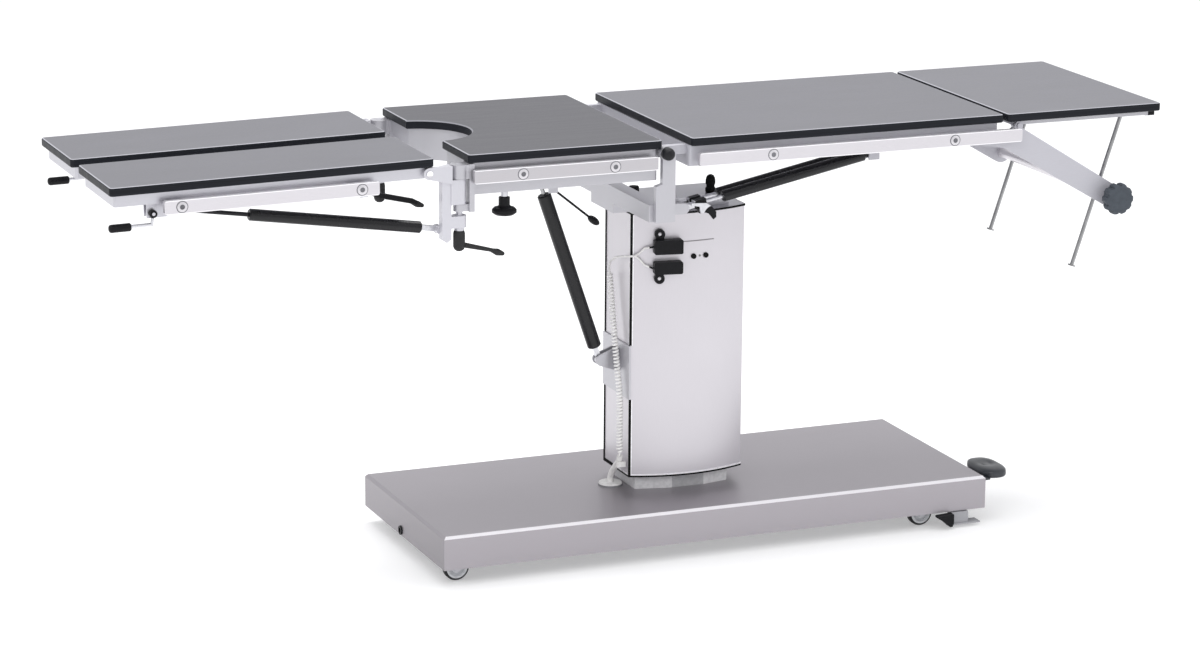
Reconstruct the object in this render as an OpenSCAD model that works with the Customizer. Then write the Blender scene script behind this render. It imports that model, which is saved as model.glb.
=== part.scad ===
// Gynecological operating table with a lifting column.
// X runs along the table with the head end at +X, Y across it, Z up from the floor.
// The origin is on the floor under the table axle, in the middle of the width.

/* [Boards] */
// Width of the boards
board_w = 479; // [420:1:520]
// Thickness of every board
board_t = 16; // [12:1:24]
// Corner radius of the boards in plan
board_corner_r = 7; // [5:1:20]
// Radius of the boards' upper and lower edges
board_edge_r = 3; // [1:0.5:5]
// Length of the seat board
seat_len = 383; // [340:1:430]
// Gap between the seat board and the table axle
seat_gap = 8; // [6:1:14]
// Distance of the back board from the table axle
back_gap = 51; // [44:1:60]
// Length of the back board
back_len = 653.5; // [600:0.5:720]
// Gap between the back and head boards
head_gap = 8.5; // [8:0.5:14]
// Length of the head board
head_len = 337; // [310:1:380]
// Gap between the seat and leg boards
leg_gap = 66; // [60:1:80]
// Length of each leg board
leg_len = 604; // [560:1:660]
// Gap between the two leg boards
leg_between = 48; // [40:1:60]
// Radius of the seat's cut-out
cut_r = 100.7; // [90:0.1:110]
// Depth of the seat's cut-out
cut_depth = 89; // [80:1:98]

/* [Frames] */
// Distance across the outside of the frames
frame_w = 452; // [400:1:460]
// Sheet thickness of the frames
frame_wall = 3; // [2:0.5:4]
// Depth of the seat frame
seat_frame_h = 61; // [54:1:66]
// Depth of the back frame
back_frame_h = 40; // [36:1:46]
// Depth of the head frame
head_frame_h = 10; // [9:0.5:12]
// Depth of each leg frame
leg_frame_h = 22; // [18:1:26]
// Set-back of the frames from the ends of their boards
frame_inset = 7; // [5:1:10]
// Corner radius of the frames
frame_corner_r = 5; // [4:1:8]
// Height of the accessory rails
rail_h = 25; // [25:1:30]
// Thickness of the accessory rails
rail_t = 10; // [8:1:12]
// Gap between a frame and its rail
rail_gap = 14; // [13.75:0.25:18]
// Drop from the underside of a board to its rail
rail_drop = 12; // [10:1:16]
// Radius of the rail spacers
spacer_r = 8; // [6:1:10]
// Radius of the rail screws' heads
screw_r = 6.5; // [5:0.5:8]

/* [Base] */
// Height of the base cover's lower edge over the floor
base_clear = 33; // [30:1:40]
// Height of the base cover
base_h = 65; // [60:1:80]
// Length of the base cover
base_l = 1133; // [1050:1:1200]
// Width of the base cover
base_w = 450; // [440:1:480]
// Distance of the base's foot end from the table axle
base_foot = 435; // [425:1:470]
// Sheet thickness of the covers
cover_wall = 2; // [1:0.5:2.5]
// Bevel along the top edges of the base cover
base_bevel = 5; // [3:0.5:8]
// Thickness of the chassis plate
chassis_t = 4; // [3:0.5:6]
// Radius of the castor wheels
wheel_r = 25; // [20:1:26]
// Width of the castor wheels
wheel_w = 18; // [14:1:20]
// Trail of the castors
castor_trail = 12; // [8:1:14]
// Inset of the castors from the ends of the base
castor_inset_x = 50; // [46:1:70]
// Further inset of the head-end castors
castor_head_inset = 61; // [40:1:90]
// Inset of the castors from the sides of the base
castor_inset_y = 42; // [42:1:60]
// Inset of the brake pedal from the near side of the base
pedal_inset = 25; // [24:1:40]

/* [Column] */
// Gap between the base and the moving covers
column_gap = 26; // [20:1:40]
// Height of the moving covers
column_h = 524; // [480:1:560]
// Length of the moving covers along the table
column_l = 236; // [225:1:250]
// Offset of the covers' foot side from the table axle
column_foot = 5; // [4:1:12]
// Width of the covers at the corners
column_end_w = 126; // [120:1:140]
// Width of the covers at the middle of the bowed sides
column_mid_w = 176; // [170:1:190]
// Sheet thickness of the column covers
column_wall = 1.5; // [1:0.5:2]
// Height of the inner column over the base
inner_h = 390; // [360:1:400]
// Gap between the inner column and the covers
inner_gap = 9; // [8:0.5:12]
// Height of the riser block on the column
riser_h = 19; // [15:1:24]
// Travel of the lift
lift_travel = 280; // [200:1:290]
// Height of the gearbox under the lift's tube
gearbox_h = 34; // [28:1:44]

/* [Cradle] */
// Height of the table axle over the column
axle_rise = 150; // [140:1:160]
// Height of the boards' undersides over the axle
deck_rise = 9; // [9:0.5:14]
// Radius of the table axle
axle_r = 7; // [5:0.5:8]
// Wall around the axle in its lugs
lug_wall = 4; // [3:0.5:4]
// Running clearance of pins in their bores
run = 0.05; // [0.03:0.01:0.1]
// Thickness of the uprights
upright_t = 12; // [9:1:12]
// Gap between the frames and the uprights
upright_gap = 2; // [1:0.5:2]
// Height of the cross beam
beam_h = 32; // [26:1:40]
// Width of the cross beam
beam_w = 30; // [26:1:34]

/* [Springs] */
// Barrel radius of the leg and back springs
spring_r = 11; // [9:0.5:12]
// Rod radius of the springs
rod_r = 4; // [3:0.5:5]
// Barrel radius of the tilt spring
tilt_spring_r = 13.5; // [11:0.5:15]
// Radius of the spring eyes
eye_r = 8; // [7.5:0.5:9]
// Width of the spring eyes
eye_w = 10; // [8:1:12]
// Radius of the spring pins
spring_pin_r = 4; // [3:0.5:4.5]

/* [Head] */
// Inset of the head hinge from the end of its board
head_hinge_in = 30; // [28:1:34]
// Radius of the head hinge's lugs
head_lug_r = 9; // [8:0.5:9.5]
// Distance of the stay's upper pivots from the end of the head board
stay_in = 47; // [40:1:60]
// Angle between the head board and the support arms
stay_angle = 36.5; // [32:0.5:42]
// Length of the stay rods
stay_len = 320; // [300:1:340]
// Distance between the stay rods
stay_span = 340; // [300:1:370]
// Radius of the cross tube
cross_r = 10; // [9:0.5:12]
// Radius of the star knob
star_r = 31.5; // [26:0.5:36]
// Number of lobes on the star knob
star_lobes = 10; // [6:1:12]

/* [Legs] */
// Sag of the leg boards towards the foot end in degrees
leg_droop = 0.94; // [0:0.01:2]
// Step from the seat board down to the leg boards
leg_step = 1.6; // [0:0.1:3]
// Distance of the swivel bolt in front of the seat board
swivel_out = 12; // [12:1:16]
// Distance of each swivel bolt from the middle
swivel_y = 220; // [215:1:224]
// Radius of the swivel bolt
swivel_r = 6; // [5:0.5:7]
// Radius of the swivel knuckles
knuckle_r = 14; // [12:0.5:14]
// Distance of the leg hinge in front of the leg boards' ends
flex_out = 9; // [8:0.5:12]
// Radius of the leg hinge's nose
nose_r = 11; // [10:0.5:11]

/* [Controls] */
// Radius of the push buttons
button_r = 5; // [4:0.5:6]
// Travel of the push buttons
button_travel = 2; // [1:0.5:3]
// Radius of the mushroom knob
knob_r = 23; // [18:1:26]

/* [Cord] */
// Outer diameter of the curls
curl_d = 13; // [11:0.5:15]
// Diameter of the cord
cord_d = 4; // [3:0.5:4.5]
// Number of curls
curls = 54; // [30:1:60]

/* [Hidden] */
$fn = 48;

steel = "#c9c9d2";
satin = "#b5b2b4";
bright = "#e2e1e6";
board = "#7c7e83";
black = "#1c1c1f";
white = "#ece9e2";

seat_gap_air = 0.3;
// Seam between sheets that are folded or screwed together
seam = 0.1;
board_edge = min(board_edge_r, board_corner_r / 2 - 0.25);

base_top = base_clear + base_h;
base_x0 = -base_foot;
base_x1 = base_x0 + base_l;
castor_span = base_w - 2 * castor_inset_y;
cover_z0 = base_top + column_gap;
cover_z1 = cover_z0 + column_h;
riser_z = cover_z1 + riser_h;
axle_z = cover_z1 + axle_rise;
deck_z = axle_z + deck_rise;
top_z = deck_z + board_t;
frame_y = frame_w / 2;
rail_in = frame_y + rail_gap;
rail_out = rail_in + rail_t;
rail_z = deck_z - rail_drop - rail_h / 2;

column_x0 = column_foot;
column_x1 = column_foot + column_l;
column_mid = column_foot + column_l / 2;
column_sag = (column_mid_w - column_end_w) / 2;
bow_r = (pow(column_l / 2, 2) + pow(column_sag, 2)) / (2 * column_sag);

seat_x1 = -seat_gap;
seat_x0 = seat_x1 - seat_len;
cut_x = seat_x0 + cut_depth - cut_r;
back_x0 = back_gap;
back_x1 = back_x0 + back_len;
head_x0 = back_x1 + head_gap;
head_x1 = head_x0 + head_len;
leg_x1 = seat_x0 - leg_gap;
leg_x0 = leg_x1 - leg_len;
leg_top = top_z - leg_step;
leg_deck = leg_top - board_t;

lug_r = axle_r + lug_wall;
upright_y = frame_y + upright_gap;
beam_x1 = 0;
beam_x0 = beam_x1 - beam_w;

head_hinge = [head_x0 + head_hinge_in, deck_z - 10];
stay_radius = head_x1 - stay_in - head_hinge[0];
stay_top = head_hinge + [stay_radius, 0];
stay_low = head_hinge + stay_radius * [cos(stay_angle), -sin(stay_angle)];
stay_tilt = stay_angle / 2;

swivel_x = seat_x0 - swivel_out;
flex = [leg_x1 - flex_out, deck_z - 14];
leg_spring_y = 195;
leg_spring_a = [swivel_x - 34, deck_z - 126];
leg_spring_b_local = [flex[0] - 494.5, leg_deck - 37.3];
leg_spring_b = droop_point(leg_spring_b_local);

back_spring_y = [-190, -164];
back_spring_a = [55, axle_z - 118];
back_spring_len = 400;
back_spring_angle = 11.2;
back_spring_u = back_spring_a + back_spring_len * [cos(back_spring_angle), sin(back_spring_angle)];
tilt_spring_a = [column_foot - 39, cover_z1 - 300];
tilt_spring_b = [-180, deck_z - 37];

cord_x = column_foot - 14;
gland = [-14, -15];
// Places of the curly cord in front of the column: height, then distance across
cord_route = [[165, -50], [198, -47], [285, -48], [352, -28], [448, -6], [523, 11]];
cord_z0 = 165;
cord_z1 = 523;
curl_rings = 8;
cord_sides = 6;

function unit(v) = v / norm(v);
function clamp01(t) = max(0, min(1, t));
function ease(t) = clamp01(t) * clamp01(t) * (3 - 2 * clamp01(t));
function bow(x) = column_mid_w / 2 - bow_r + sqrt(pow(bow_r, 2) - pow(x - column_mid, 2));
function droop_point(p) = [
  flex[0] + (p[0] - flex[0]) * cos(leg_droop) - (p[1] - flex[1]) * sin(leg_droop),
  flex[1] + (p[0] - flex[0]) * sin(leg_droop) + (p[1] - flex[1]) * cos(leg_droop)
];
function lean(p, q) = atan2(q[0] - p[0], q[1] - p[1]);
function span(p, q) = norm(q - p);
function tangents(p) = [
  for (i = [0 : len(p) - 1])
    unit(p[min(i + 1, len(p) - 1)] - p[max(i - 1, 0)])
];
function cord_y(z) = (lookup(z - 18, cord_route) + lookup(z, cord_route) + lookup(z + 18, cord_route)) / 3;

// Round tube through a list of points; each guide keeps its ring from twisting
module swept_tube(points, guides, r, sides) {
  t = tangents(points);
  n = len(points);
  rings = [
    for (i = [0 : n - 1])
      let (a = unit(guides[i] - t[i] * (guides[i] * t[i])), b = cross(t[i], a))
        for (k = [0 : sides - 1])
          points[i] + r * (cos(360 * k / sides) * a + sin(360 * k / sides) * b)
  ];
  last = (n - 1) * sides;
  walls = [
    for (i = [0 : n - 2], k = [0 : sides - 1])
      let (a = i * sides + k, b = i * sides + (k + 1) % sides)
        each [[a, a + sides, b + sides], [a, b + sides, b]]
  ];
  start_cap = [for (k = [1 : sides - 2]) [0, k, k + 1]];
  end_cap = [for (k = [1 : sides - 2]) [last, last + k + 1, last + k]];
  polyhedron(points = rings, faces = concat(walls, start_cap, end_cap), convexity = 10);
}

// Rectangle with round corners, from x0 to x1, centred on the X axis
module plate_2d(x0, x1, w, r) {
  translate([x0 + r, -w / 2]) square([x1 - x0 - 2 * r, w]);
  translate([x0, -w / 2 + r]) square([x1 - x0, w - 2 * r]);
  for (x = [x0 + r, x1 - r], y = [-w / 2 + r, w / 2 - r]) {
    translate([x, y]) circle(r);
  }
}

// Board with round corners and round edges, its underside at z = 0
module board_slab(x0, x1, y0, y1) {
  hull() {
    for (x = [x0 + board_corner_r, x1 - board_corner_r],
         y = [y0 + board_corner_r, y1 - board_corner_r],
         z = [board_edge, board_t - board_edge]) {
      translate([x, y, z])
        rotate_extrude($fn = 32)
          translate([board_corner_r - board_edge, 0]) circle(board_edge, $fn = 16);
    }
  }
}

// Shallow tray open at the bottom, its deck's top at z = 0
module tray(x0, x1, w, h) {
  difference() {
    translate([0, 0, -h]) linear_extrude(h) plate_2d(x0, x1, w, frame_corner_r);
    translate([0, 0, -h - 1])
      linear_extrude(h + 1 - frame_wall)
        plate_2d(x0 + frame_wall, x1 - frame_wall, w - 2 * frame_wall, frame_corner_r - frame_wall + 1);
  }
}

// Disc or ring plate standing across Y, from y0 to y1
module disc_y(x, z, r, y0, y1) {
  translate([x, y1, z]) rotate([90, 0, 0]) cylinder(r = r, h = y1 - y0);
}

// Upright plate across Y with an outline given in X and Z
module plate_y(points, y0, y1) {
  translate([0, y1, 0]) rotate([90, 0, 0]) linear_extrude(y1 - y0) polygon(points);
}

// Box from one corner to the opposite one
module block(a, b) {
  translate(a) cube(b - a);
}

// Places children with Z along the line from p to q in the XZ plane
module along(p, q, y) {
  translate([p[0], y, p[1]]) rotate([0, lean(p, q), 0]) children();
}

// Eye at the origin with its bore across Y
module eye(r, w) {
  rotate([90, 0, 0])
    difference() {
      cylinder(r = r, h = w, center = true);
      cylinder(r = spring_pin_r + run, h = w + 1, center = true);
    }
}

// Neck of an eye, from its wall up to z = l
module eye_neck(r, w, l) {
  difference() {
    translate([-r * 0.6, -w / 2, 0]) cube([r * 1.2, w, l]);
    rotate([90, 0, 0]) cylinder(r = r - 0.5, h = w + 1, center = true);
  }
}

// Barrel of a gas spring with bevelled ends, from z = 0 to z = l
module barrel(r, l) {
  rotate_extrude() polygon([[0, 0], [r - 2, 0], [r, 2], [r, l - 2], [r - 2, l], [0, l]]);
}

// Rail with its spacers and screws, from x0 to x1 on one side
module rail(x0, x1, z, screws, side) {
  translate([0, side > 0 ? rail_in : -rail_out, 0])
    difference() {
      translate([0, rail_t, 0])
        rotate([90, 0, 0])
          linear_extrude(rail_t)
            translate([0, z]) plate_2d(x0, x1, rail_h, 4);
      for (x = screws) {
        translate([x, side > 0 ? rail_t + 1 : -1, z])
          rotate([side > 0 ? 90 : -90, 0, 0]) {
            difference() {
              cylinder(r = screw_r, h = 1.6);
              cylinder(r = screw_r - 1, h = 1.6);
            }
            cylinder(r = 3, h = 4, $fn = 6);
          }
      }
    }
  for (x = screws) {
    disc_y(x, z, spacer_r, side > 0 ? frame_y : -rail_in, side > 0 ? rail_in : -frame_y);
  }
}

// Base

module beveled_box(x0, x1, w, h, bevel) {
  intersection() {
    translate([x0, 0, 0])
      rotate([90, 0, 90])
        linear_extrude(x1 - x0)
          polygon([
            [-w / 2, 0], [w / 2, 0], [w / 2, h - bevel],
            [w / 2 - bevel, h], [bevel - w / 2, h], [-w / 2, h - bevel]
          ]);
    plate_y([
      [x0, 0], [x1, 0], [x1, h - bevel],
      [x1 - bevel, h], [x0 + bevel, h], [x0, h - bevel]
    ], -w / 2, w / 2);
  }
}

function inner_outline(gap, x0, x1) = let (
  xs = [x0, x0 + 65, x1 - 57, x1]
) concat(
  [for (x = xs) [x, gap - bow(x)]],
  [for (i = [len(xs) - 1 : -1 : 0]) [xs[i], bow(xs[i]) - gap]]
);

inner_x0 = column_x0 + 14;
inner_x1 = column_x1 - 30;
socket_y = 16;
socket_z = base_clear + 10;
socket_r = 9;
socket_body_r = 6;
pedal_y = pedal_inset - base_w / 2;
pedal_pivot = [base_x1 - 38, base_top - 16];
pedal_slot_z = base_top - 34;
gland_flange_r = 24;

// Sheet across one end of the base with a square opening, in four strips
module end_sheet(x, y, z, half_w, z0, z1, half_y, wall_z1) {
  w = half_w - cover_wall - seam;
  block([x, -w, base_clear], [x + cover_wall, y - half_y, wall_z1]);
  block([x, y + half_y, base_clear], [x + cover_wall, w, wall_z1]);
  block([x, y - half_y + seam, base_clear], [x + cover_wall, y + half_y - seam, z0]);
  if (z1 < wall_z1 - 1) {
    block([x, y - half_y + seam, z1], [x + cover_wall, y + half_y - seam, wall_z1]);
  }
}

// Top sheet with its bevel, two side sheets and two end sheets
module base_cover() {
  wall_z1 = base_top - base_bevel - seam;
  socket_half = socket_body_r + 0.25;
  color(satin) {
    difference() {
      translate([0, 0, base_clear]) beveled_box(base_x0, base_x1, base_w, base_h, base_bevel);
      translate([0, 0, base_clear - cover_wall])
        beveled_box(base_x0 + cover_wall, base_x1 - cover_wall, base_w - 2 * cover_wall, base_h, base_bevel);
      block([base_x0 - 1, -base_w / 2 - 1, base_clear - 1], [base_x1 + 1, base_w / 2 + 1, wall_z1 + seam]);
      translate([0, 0, base_top - cover_wall - 1])
        linear_extrude(cover_wall + 2)
          polygon(inner_outline(inner_gap - 1, inner_x0 - 1, inner_x1 + 1));
    }
    for (y = [-base_w / 2, base_w / 2 - cover_wall]) {
      block([base_x0, y, base_clear], [base_x1, y + cover_wall, wall_z1]);
    }
    end_sheet(base_x0, socket_y, socket_z, base_w / 2, socket_z - socket_half, socket_z + socket_half, socket_half, wall_z1);
    end_sheet(base_x1 - cover_wall, pedal_y, pedal_pivot[1], base_w / 2, pedal_slot_z, wall_z1, 12, wall_z1);
    for (y = [-56, -94]) {
      translate([base_x1 + seam, y, base_top - 12])
        rotate([0, 90, 0]) cylinder(r1 = 5, r2 = 3.5, h = 8);
    }
  }
}

castor_x = [base_x0 + castor_inset_x, base_x1 - castor_inset_x - castor_head_inset];
castor_places = [
  [castor_x[0], -castor_span / 2],
  [castor_x[1], -castor_span / 2],
  [castor_x[0], castor_span / 2],
  [castor_x[1], castor_span / 2]
];
castor_turn = [0, 0, 90, 0];
stem_r = 6;
stem_z0 = 2 * wheel_r + 8;
chassis_z1 = base_top - cover_wall;
chassis_z0 = chassis_z1 - chassis_t;
lock_x = base_x1 - 59;
lock_y = -base_w / 2;
beam_in = base_w / 2 - 107;

// Chassis plate, and under it two beams, four castor posts, the pedal's lugs and the floor lock's bracket
module base_frame() {
  under = chassis_z0 - seam;
  color(steel) {
    block([base_x0 + 12, -base_w / 2 + 12, chassis_z0], [base_x1 - 12, base_w / 2 - 12, chassis_z1]);
    for (y = [-beam_in, beam_in - 28]) {
      block([base_x0 + 40, y, chassis_z0 - 24], [base_x1 - 40, y + 28, under]);
    }
    for (p = castor_places) {
      translate([p[0], p[1], 0])
        difference() {
          translate([0, 0, stem_z0 + 1]) cylinder(r = 20, h = under - stem_z0 - 1);
          translate([0, 0, stem_z0 - 1]) cylinder(r = stem_r + run, h = 24);
        }
    }
    for (y = [pedal_y - 13, pedal_y + 9]) {
      block([pedal_pivot[0] - 9, y, pedal_pivot[1] - 8], [pedal_pivot[0] + 9, y + 4, under]);
    }
    disc_y(pedal_pivot[0], pedal_pivot[1], 4, pedal_y - 12, pedal_y + 12);
    difference() {
      union() {
        block([lock_x - 15, lock_y + 8, 10], [lock_x - 1, lock_y + 16, under]);
        block([lock_x - 15, lock_y + 8, 10], [lock_x + 20, lock_y + 16, 60]);
        block([lock_x - 15, lock_y - 5, 10], [lock_x - 11, lock_y + 9, base_clear - 1]);
        block([lock_x + 16, lock_y - 5, 10], [lock_x + 20, lock_y + 9, base_clear - 1]);
        block([lock_x - 15, lock_y - 5, 10], [lock_x + 20, lock_y - 1, base_clear - 1]);
        block([lock_x - 15, lock_y - 8, 7], [lock_x + 45, lock_y + 16, 10]);
      }
      translate([lock_x - 12, lock_y + 4, 22])
        rotate([0, 90, 0]) cylinder(r = 3 + run, h = 10, center = true);
    }
  }
}

module column_inner() {
  color(white)
    translate([0, 0, chassis_z1])
      linear_extrude(inner_h + cover_wall)
        difference() {
          polygon(inner_outline(inner_gap, inner_x0, inner_x1));
          polygon(inner_outline(inner_gap + 5, inner_x0 + 5, inner_x1 - 5));
        }
}

push_r = 16;

module lift_actuator() {
  color(steel) {
    block([column_mid - 40, -28, chassis_z1], [column_mid + 30, 28, chassis_z1 + gearbox_h]);
    translate([column_mid, 0, chassis_z1 + gearbox_h])
      difference() {
        cylinder(r = push_r + 6, h = inner_h - gearbox_h + 4);
        translate([0, 0, 4]) cylinder(r = push_r + 0.4, h = inner_h);
      }
  }
}

module power_socket() {
  color(black)
    difference() {
      union() {
        translate([base_x0 - 2.5, socket_y, socket_z]) rotate([0, 90, 0]) cylinder(r = socket_r, h = 2.5);
        translate([base_x0 - 1, socket_y, socket_z]) rotate([0, 90, 0]) cylinder(r = socket_body_r, h = 23);
      }
      translate([base_x0 - 4, socket_y, socket_z]) rotate([0, 90, 0]) cylinder(r = 5, h = 14);
    }
}

sleeve_r = 6;
sleeve_route = [
  [gland[0], gland[1], base_top + 6],
  [gland[0], gland[1], base_top + 16],
  [gland[0] + 1, gland[1] - 6, base_top + 28],
  [gland[0] + 3, gland[1] - 18, base_top + 42],
  [cord_x, -43, base_top + 54],
  [cord_x, -49, base_top + 61],
  [cord_x, -50, cord_z0]
];

module cord_gland() {
  color(satin)
    translate([gland[0], gland[1], base_top]) cylinder(r1 = gland_flange_r, r2 = gland_flange_r - 2, h = 6);
  color(black)
    swept_tube(sleeve_route, [for (p = sleeve_route) [1, 0, 0]], sleeve_r, 16);
  color(black)
    translate([cord_x - 9, -58, base_top + 46]) cube([18, 7, 10]);
}

cord_step = (cord_z1 - cord_z0 - 2 * cord_d) / curls;
cord_count = curls * curl_rings;
cord_path = concat(
  [[cord_x, cord_y(cord_z0), cord_z0 + seat_gap_air]],
  [
    for (i = [0 : cord_count])
      let (
        z = cord_z0 + cord_d + cord_step * i / curl_rings,
        a = 360 * i / curl_rings,
        grow = ease(i / curl_rings) * ease((cord_count - i) / curl_rings),
        r = (curl_d - cord_d) / 2 * grow
      )
        [cord_x + r * cos(a), cord_y(z) + r * sin(a), z]
  ],
  [[cord_x, cord_y(cord_z1), cord_z1 - seat_gap_air]]
);
cord_guides = concat(
  [[1, 0, 0]],
  [for (i = [0 : cord_count]) let (a = 360 * i / curl_rings) [cos(a), sin(a), 0]],
  [[1, 0, 0]]
);
cord_least_gap = min([
  for (i = [curl_rings : cord_count - 2 * curl_rings], j = [i + 5 : i + curl_rings + 3])
    norm(cord_path[i] - cord_path[j])
]) - cord_d;

module curly_cord() {
  echo(str("Curly cord: least gap between curls ", cord_least_gap, " mm"));
  color(white) swept_tube(cord_path, cord_guides, cord_d / 2, cord_sides);
}

// Castors

fork_gap = 1;
fork_t = 3;

module castor_fork(i) {
  p = castor_places[i];
  color(steel)
    translate([p[0], p[1], 0])
      rotate([0, 0, castor_turn[i]]) {
        translate([0, 0, stem_z0]) cylinder(r = stem_r, h = 20);
        translate([0, 0, stem_z0 - 4]) cylinder(r = wheel_w / 2 + fork_gap + fork_t, h = 4);
        for (s = [-1, 1]) {
          y0 = s > 0 ? wheel_w / 2 + fork_gap : -wheel_w / 2 - fork_gap - fork_t;
          plate_y([
            [-8, stem_z0], [8, stem_z0], [6, stem_z0 - 8],
            [-castor_trail + 7, wheel_r], [-castor_trail - 7, wheel_r], [-12, stem_z0 - 12]
          ], y0, y0 + fork_t);
          disc_y(-castor_trail, wheel_r, 7, y0, y0 + fork_t);
        }
        disc_y(-castor_trail, wheel_r, 3, -wheel_w / 2 - fork_gap, wheel_w / 2 + fork_gap);
      }
}

module castor_wheel(i) {
  p = castor_places[i];
  color(black)
    translate([p[0], p[1], 0])
      rotate([0, 0, castor_turn[i]])
        translate([-castor_trail, 0, wheel_r])
          rotate([90, 0, 0])
            rotate_extrude($fn = 64)
              polygon([
                [3 + run, -wheel_w / 2], [8, -wheel_w / 2], [9, -wheel_w / 2 + 3], [15, -wheel_w / 2 + 3],
                [17, -wheel_w / 2 + 1], [wheel_r - 2.5, -wheel_w / 2 + 1], [wheel_r, -wheel_w / 2 + 4],
                [wheel_r, wheel_w / 2 - 4], [wheel_r - 2.5, wheel_w / 2 - 1], [17, wheel_w / 2 - 1],
                [15, wheel_w / 2 - 3], [9, wheel_w / 2 - 3], [8, wheel_w / 2], [3 + run, wheel_w / 2]
              ]);
}

module brake_pedal() {
  color(black)
    difference() {
      union() {
        disc_y(pedal_pivot[0], pedal_pivot[1], 7.5, pedal_y - 8, pedal_y + 8);
        block([pedal_pivot[0], pedal_y - 8, pedal_pivot[1] - 4], [base_x1 + 20, pedal_y + 8, pedal_pivot[1] + 4]);
        hull() {
          for (y = [-6, 82]) {
            translate([base_x1 + 14, pedal_y + y, base_top - 6]) sphere(r = 9, $fn = 24);
          }
          for (y = [6, 68]) {
            translate([base_x1 + 53, pedal_y + y, base_top - 4]) sphere(r = 11, $fn = 24);
          }
        }
      }
      disc_y(pedal_pivot[0], pedal_pivot[1], 4 + run, pedal_y - 9, pedal_y + 9);
      translate([base_x1 + 37, pedal_y + 38, base_top + 33]) sphere(r = 32, $fn = 48);
    }
}

module floor_lock_lever() {
  color(black)
    translate([0, lock_y, 0]) {
      translate([lock_x - 21, 4, 22]) rotate([0, 90, 0]) cylinder(r = 3, h = 13);
      translate([lock_x - 26, 4, 22]) rotate([0, 90, 0]) cylinder(r = 6.5, h = 10.5);
      plate_y([
        [lock_x - 49, 29], [lock_x - 16, 31], [lock_x - 16, 13], [lock_x - 19, 6],
        [lock_x - 24, 6], [lock_x - 36, 17], [lock_x - 49, 25]
      ], -15, 1.5);
    }
}

// Column

module column_section(grow) {
  intersection() {
    translate([column_x0 - grow, -column_mid_w]) square([column_l + 2 * grow, 2 * column_mid_w]);
    translate([column_mid, bow_r - column_mid_w / 2]) circle(bow_r + grow, $fn = 240);
    translate([column_mid, column_mid_w / 2 - bow_r]) circle(bow_r + grow, $fn = 240);
  }
}

module column_head() {
  color(steel) {
    translate([0, 0, cover_z1 - 8])
      linear_extrude(8) column_section(-column_wall - seat_gap_air);
    block([beam_x0, -55, cover_z1], [inner_x1, 55, riser_z]);
    translate([column_mid, 0, cover_z0 + 16]) cylinder(r = push_r, h = column_h - 24);
  }
}

button_x = [column_mid + 1, column_mid + 27];
button_z = cover_z1 - 89;

module column_covers() {
  color(bright)
    difference() {
      translate([0, 0, cover_z0])
        linear_extrude(column_h)
          difference() {
            column_section(0);
            column_section(-column_wall);
          }
      for (x = button_x) {
        disc_y(x, button_z, button_r + seat_gap_air, -column_mid_w / 2 - 1, -column_end_w / 2);
      }
    }
}

trim_t = 1.2;
trim_w = 4;
trim_gap = 0.1;
anchor_z0 = tilt_spring_a[1] - 68;
anchor_z1 = tilt_spring_a[1] + 38;
buffer_x = [column_x0 + 20, column_x1 - 56];
buffer_y = -26;

module trim_ring() {
  difference() {
    column_section(trim_t + trim_gap);
    column_section(trim_gap);
  }
}

module column_trim() {
  color(black) {
    for (z = [[cover_z0, anchor_z0 - 1], [anchor_z1 + 1, cover_z1]]) {
      translate([0, 0, z[0]])
        linear_extrude(z[1] - z[0])
          intersection() {
            trim_ring();
            translate([column_x0 - 2, -column_mid_w]) square([trim_w + 2, 2 * column_mid_w]);
            difference() {
              translate([column_x0 - 5, -column_mid_w]) square([trim_w + 10, 2 * column_mid_w]);
              translate([column_x0 - 6, trim_w - column_end_w / 2])
                square([trim_w + 12, column_end_w - 2 * trim_w]);
            }
          }
    }
    translate([0, 0, cover_z0]) linear_extrude(6) trim_ring();
    translate([0, 0, cover_z1 - 4]) linear_extrude(4) trim_ring();
    translate([buffer_x[0], buffer_y, riser_z])
      rotate_extrude() polygon([[0, 0], [8, 0], [8, 4], [10, 7], [10, 22], [9, 24], [0, 24]]);
    translate([buffer_x[1], buffer_y, riser_z])
      rotate_extrude()
        polygon([
          [0, 0], [9, 0], [10, 2], [10, 8], [8, 11], [8, 14], [9.5, 17], [9.5, 24],
          [8.5, 29], [6, 33], [3, 34.8], [0, 35]
        ]);
  }
}

plug_x = column_x0 + 66;
plug_z = [cover_z1 - 106, cover_z1 - 65];
plug_turn = asin((plug_x - column_mid) / bow_r);

// Thin leads from the curly cord round the near corner to both plugs
lead_split = [column_x0 + 4, -column_end_w / 2 - 9, cover_z1 - 83];
lead_one = [
  [cord_x, 11, cord_z1],
  [cord_x, 11, cord_z1 + 6],
  [cord_x, 6, cord_z1 + 16],
  [cord_x, -20, cord_z1 + 30],
  [cord_x, -50, cord_z1 + 38],
  [cord_x + 2, -64, cord_z1 + 41],
  [cord_x + 8, -71, cord_z1 + 42],
  lead_split
];
lead_low = [
  lead_split,
  lead_split + [8, -2, -6],
  lead_split + [18, -5, -18],
  lead_split + [32.5, -14, -24]
];
lead_high = [
  lead_split,
  lead_split + [8, -2, 5],
  lead_split + [18, -5, 15],
  lead_split + [32.5, -14, 18]
];

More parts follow.
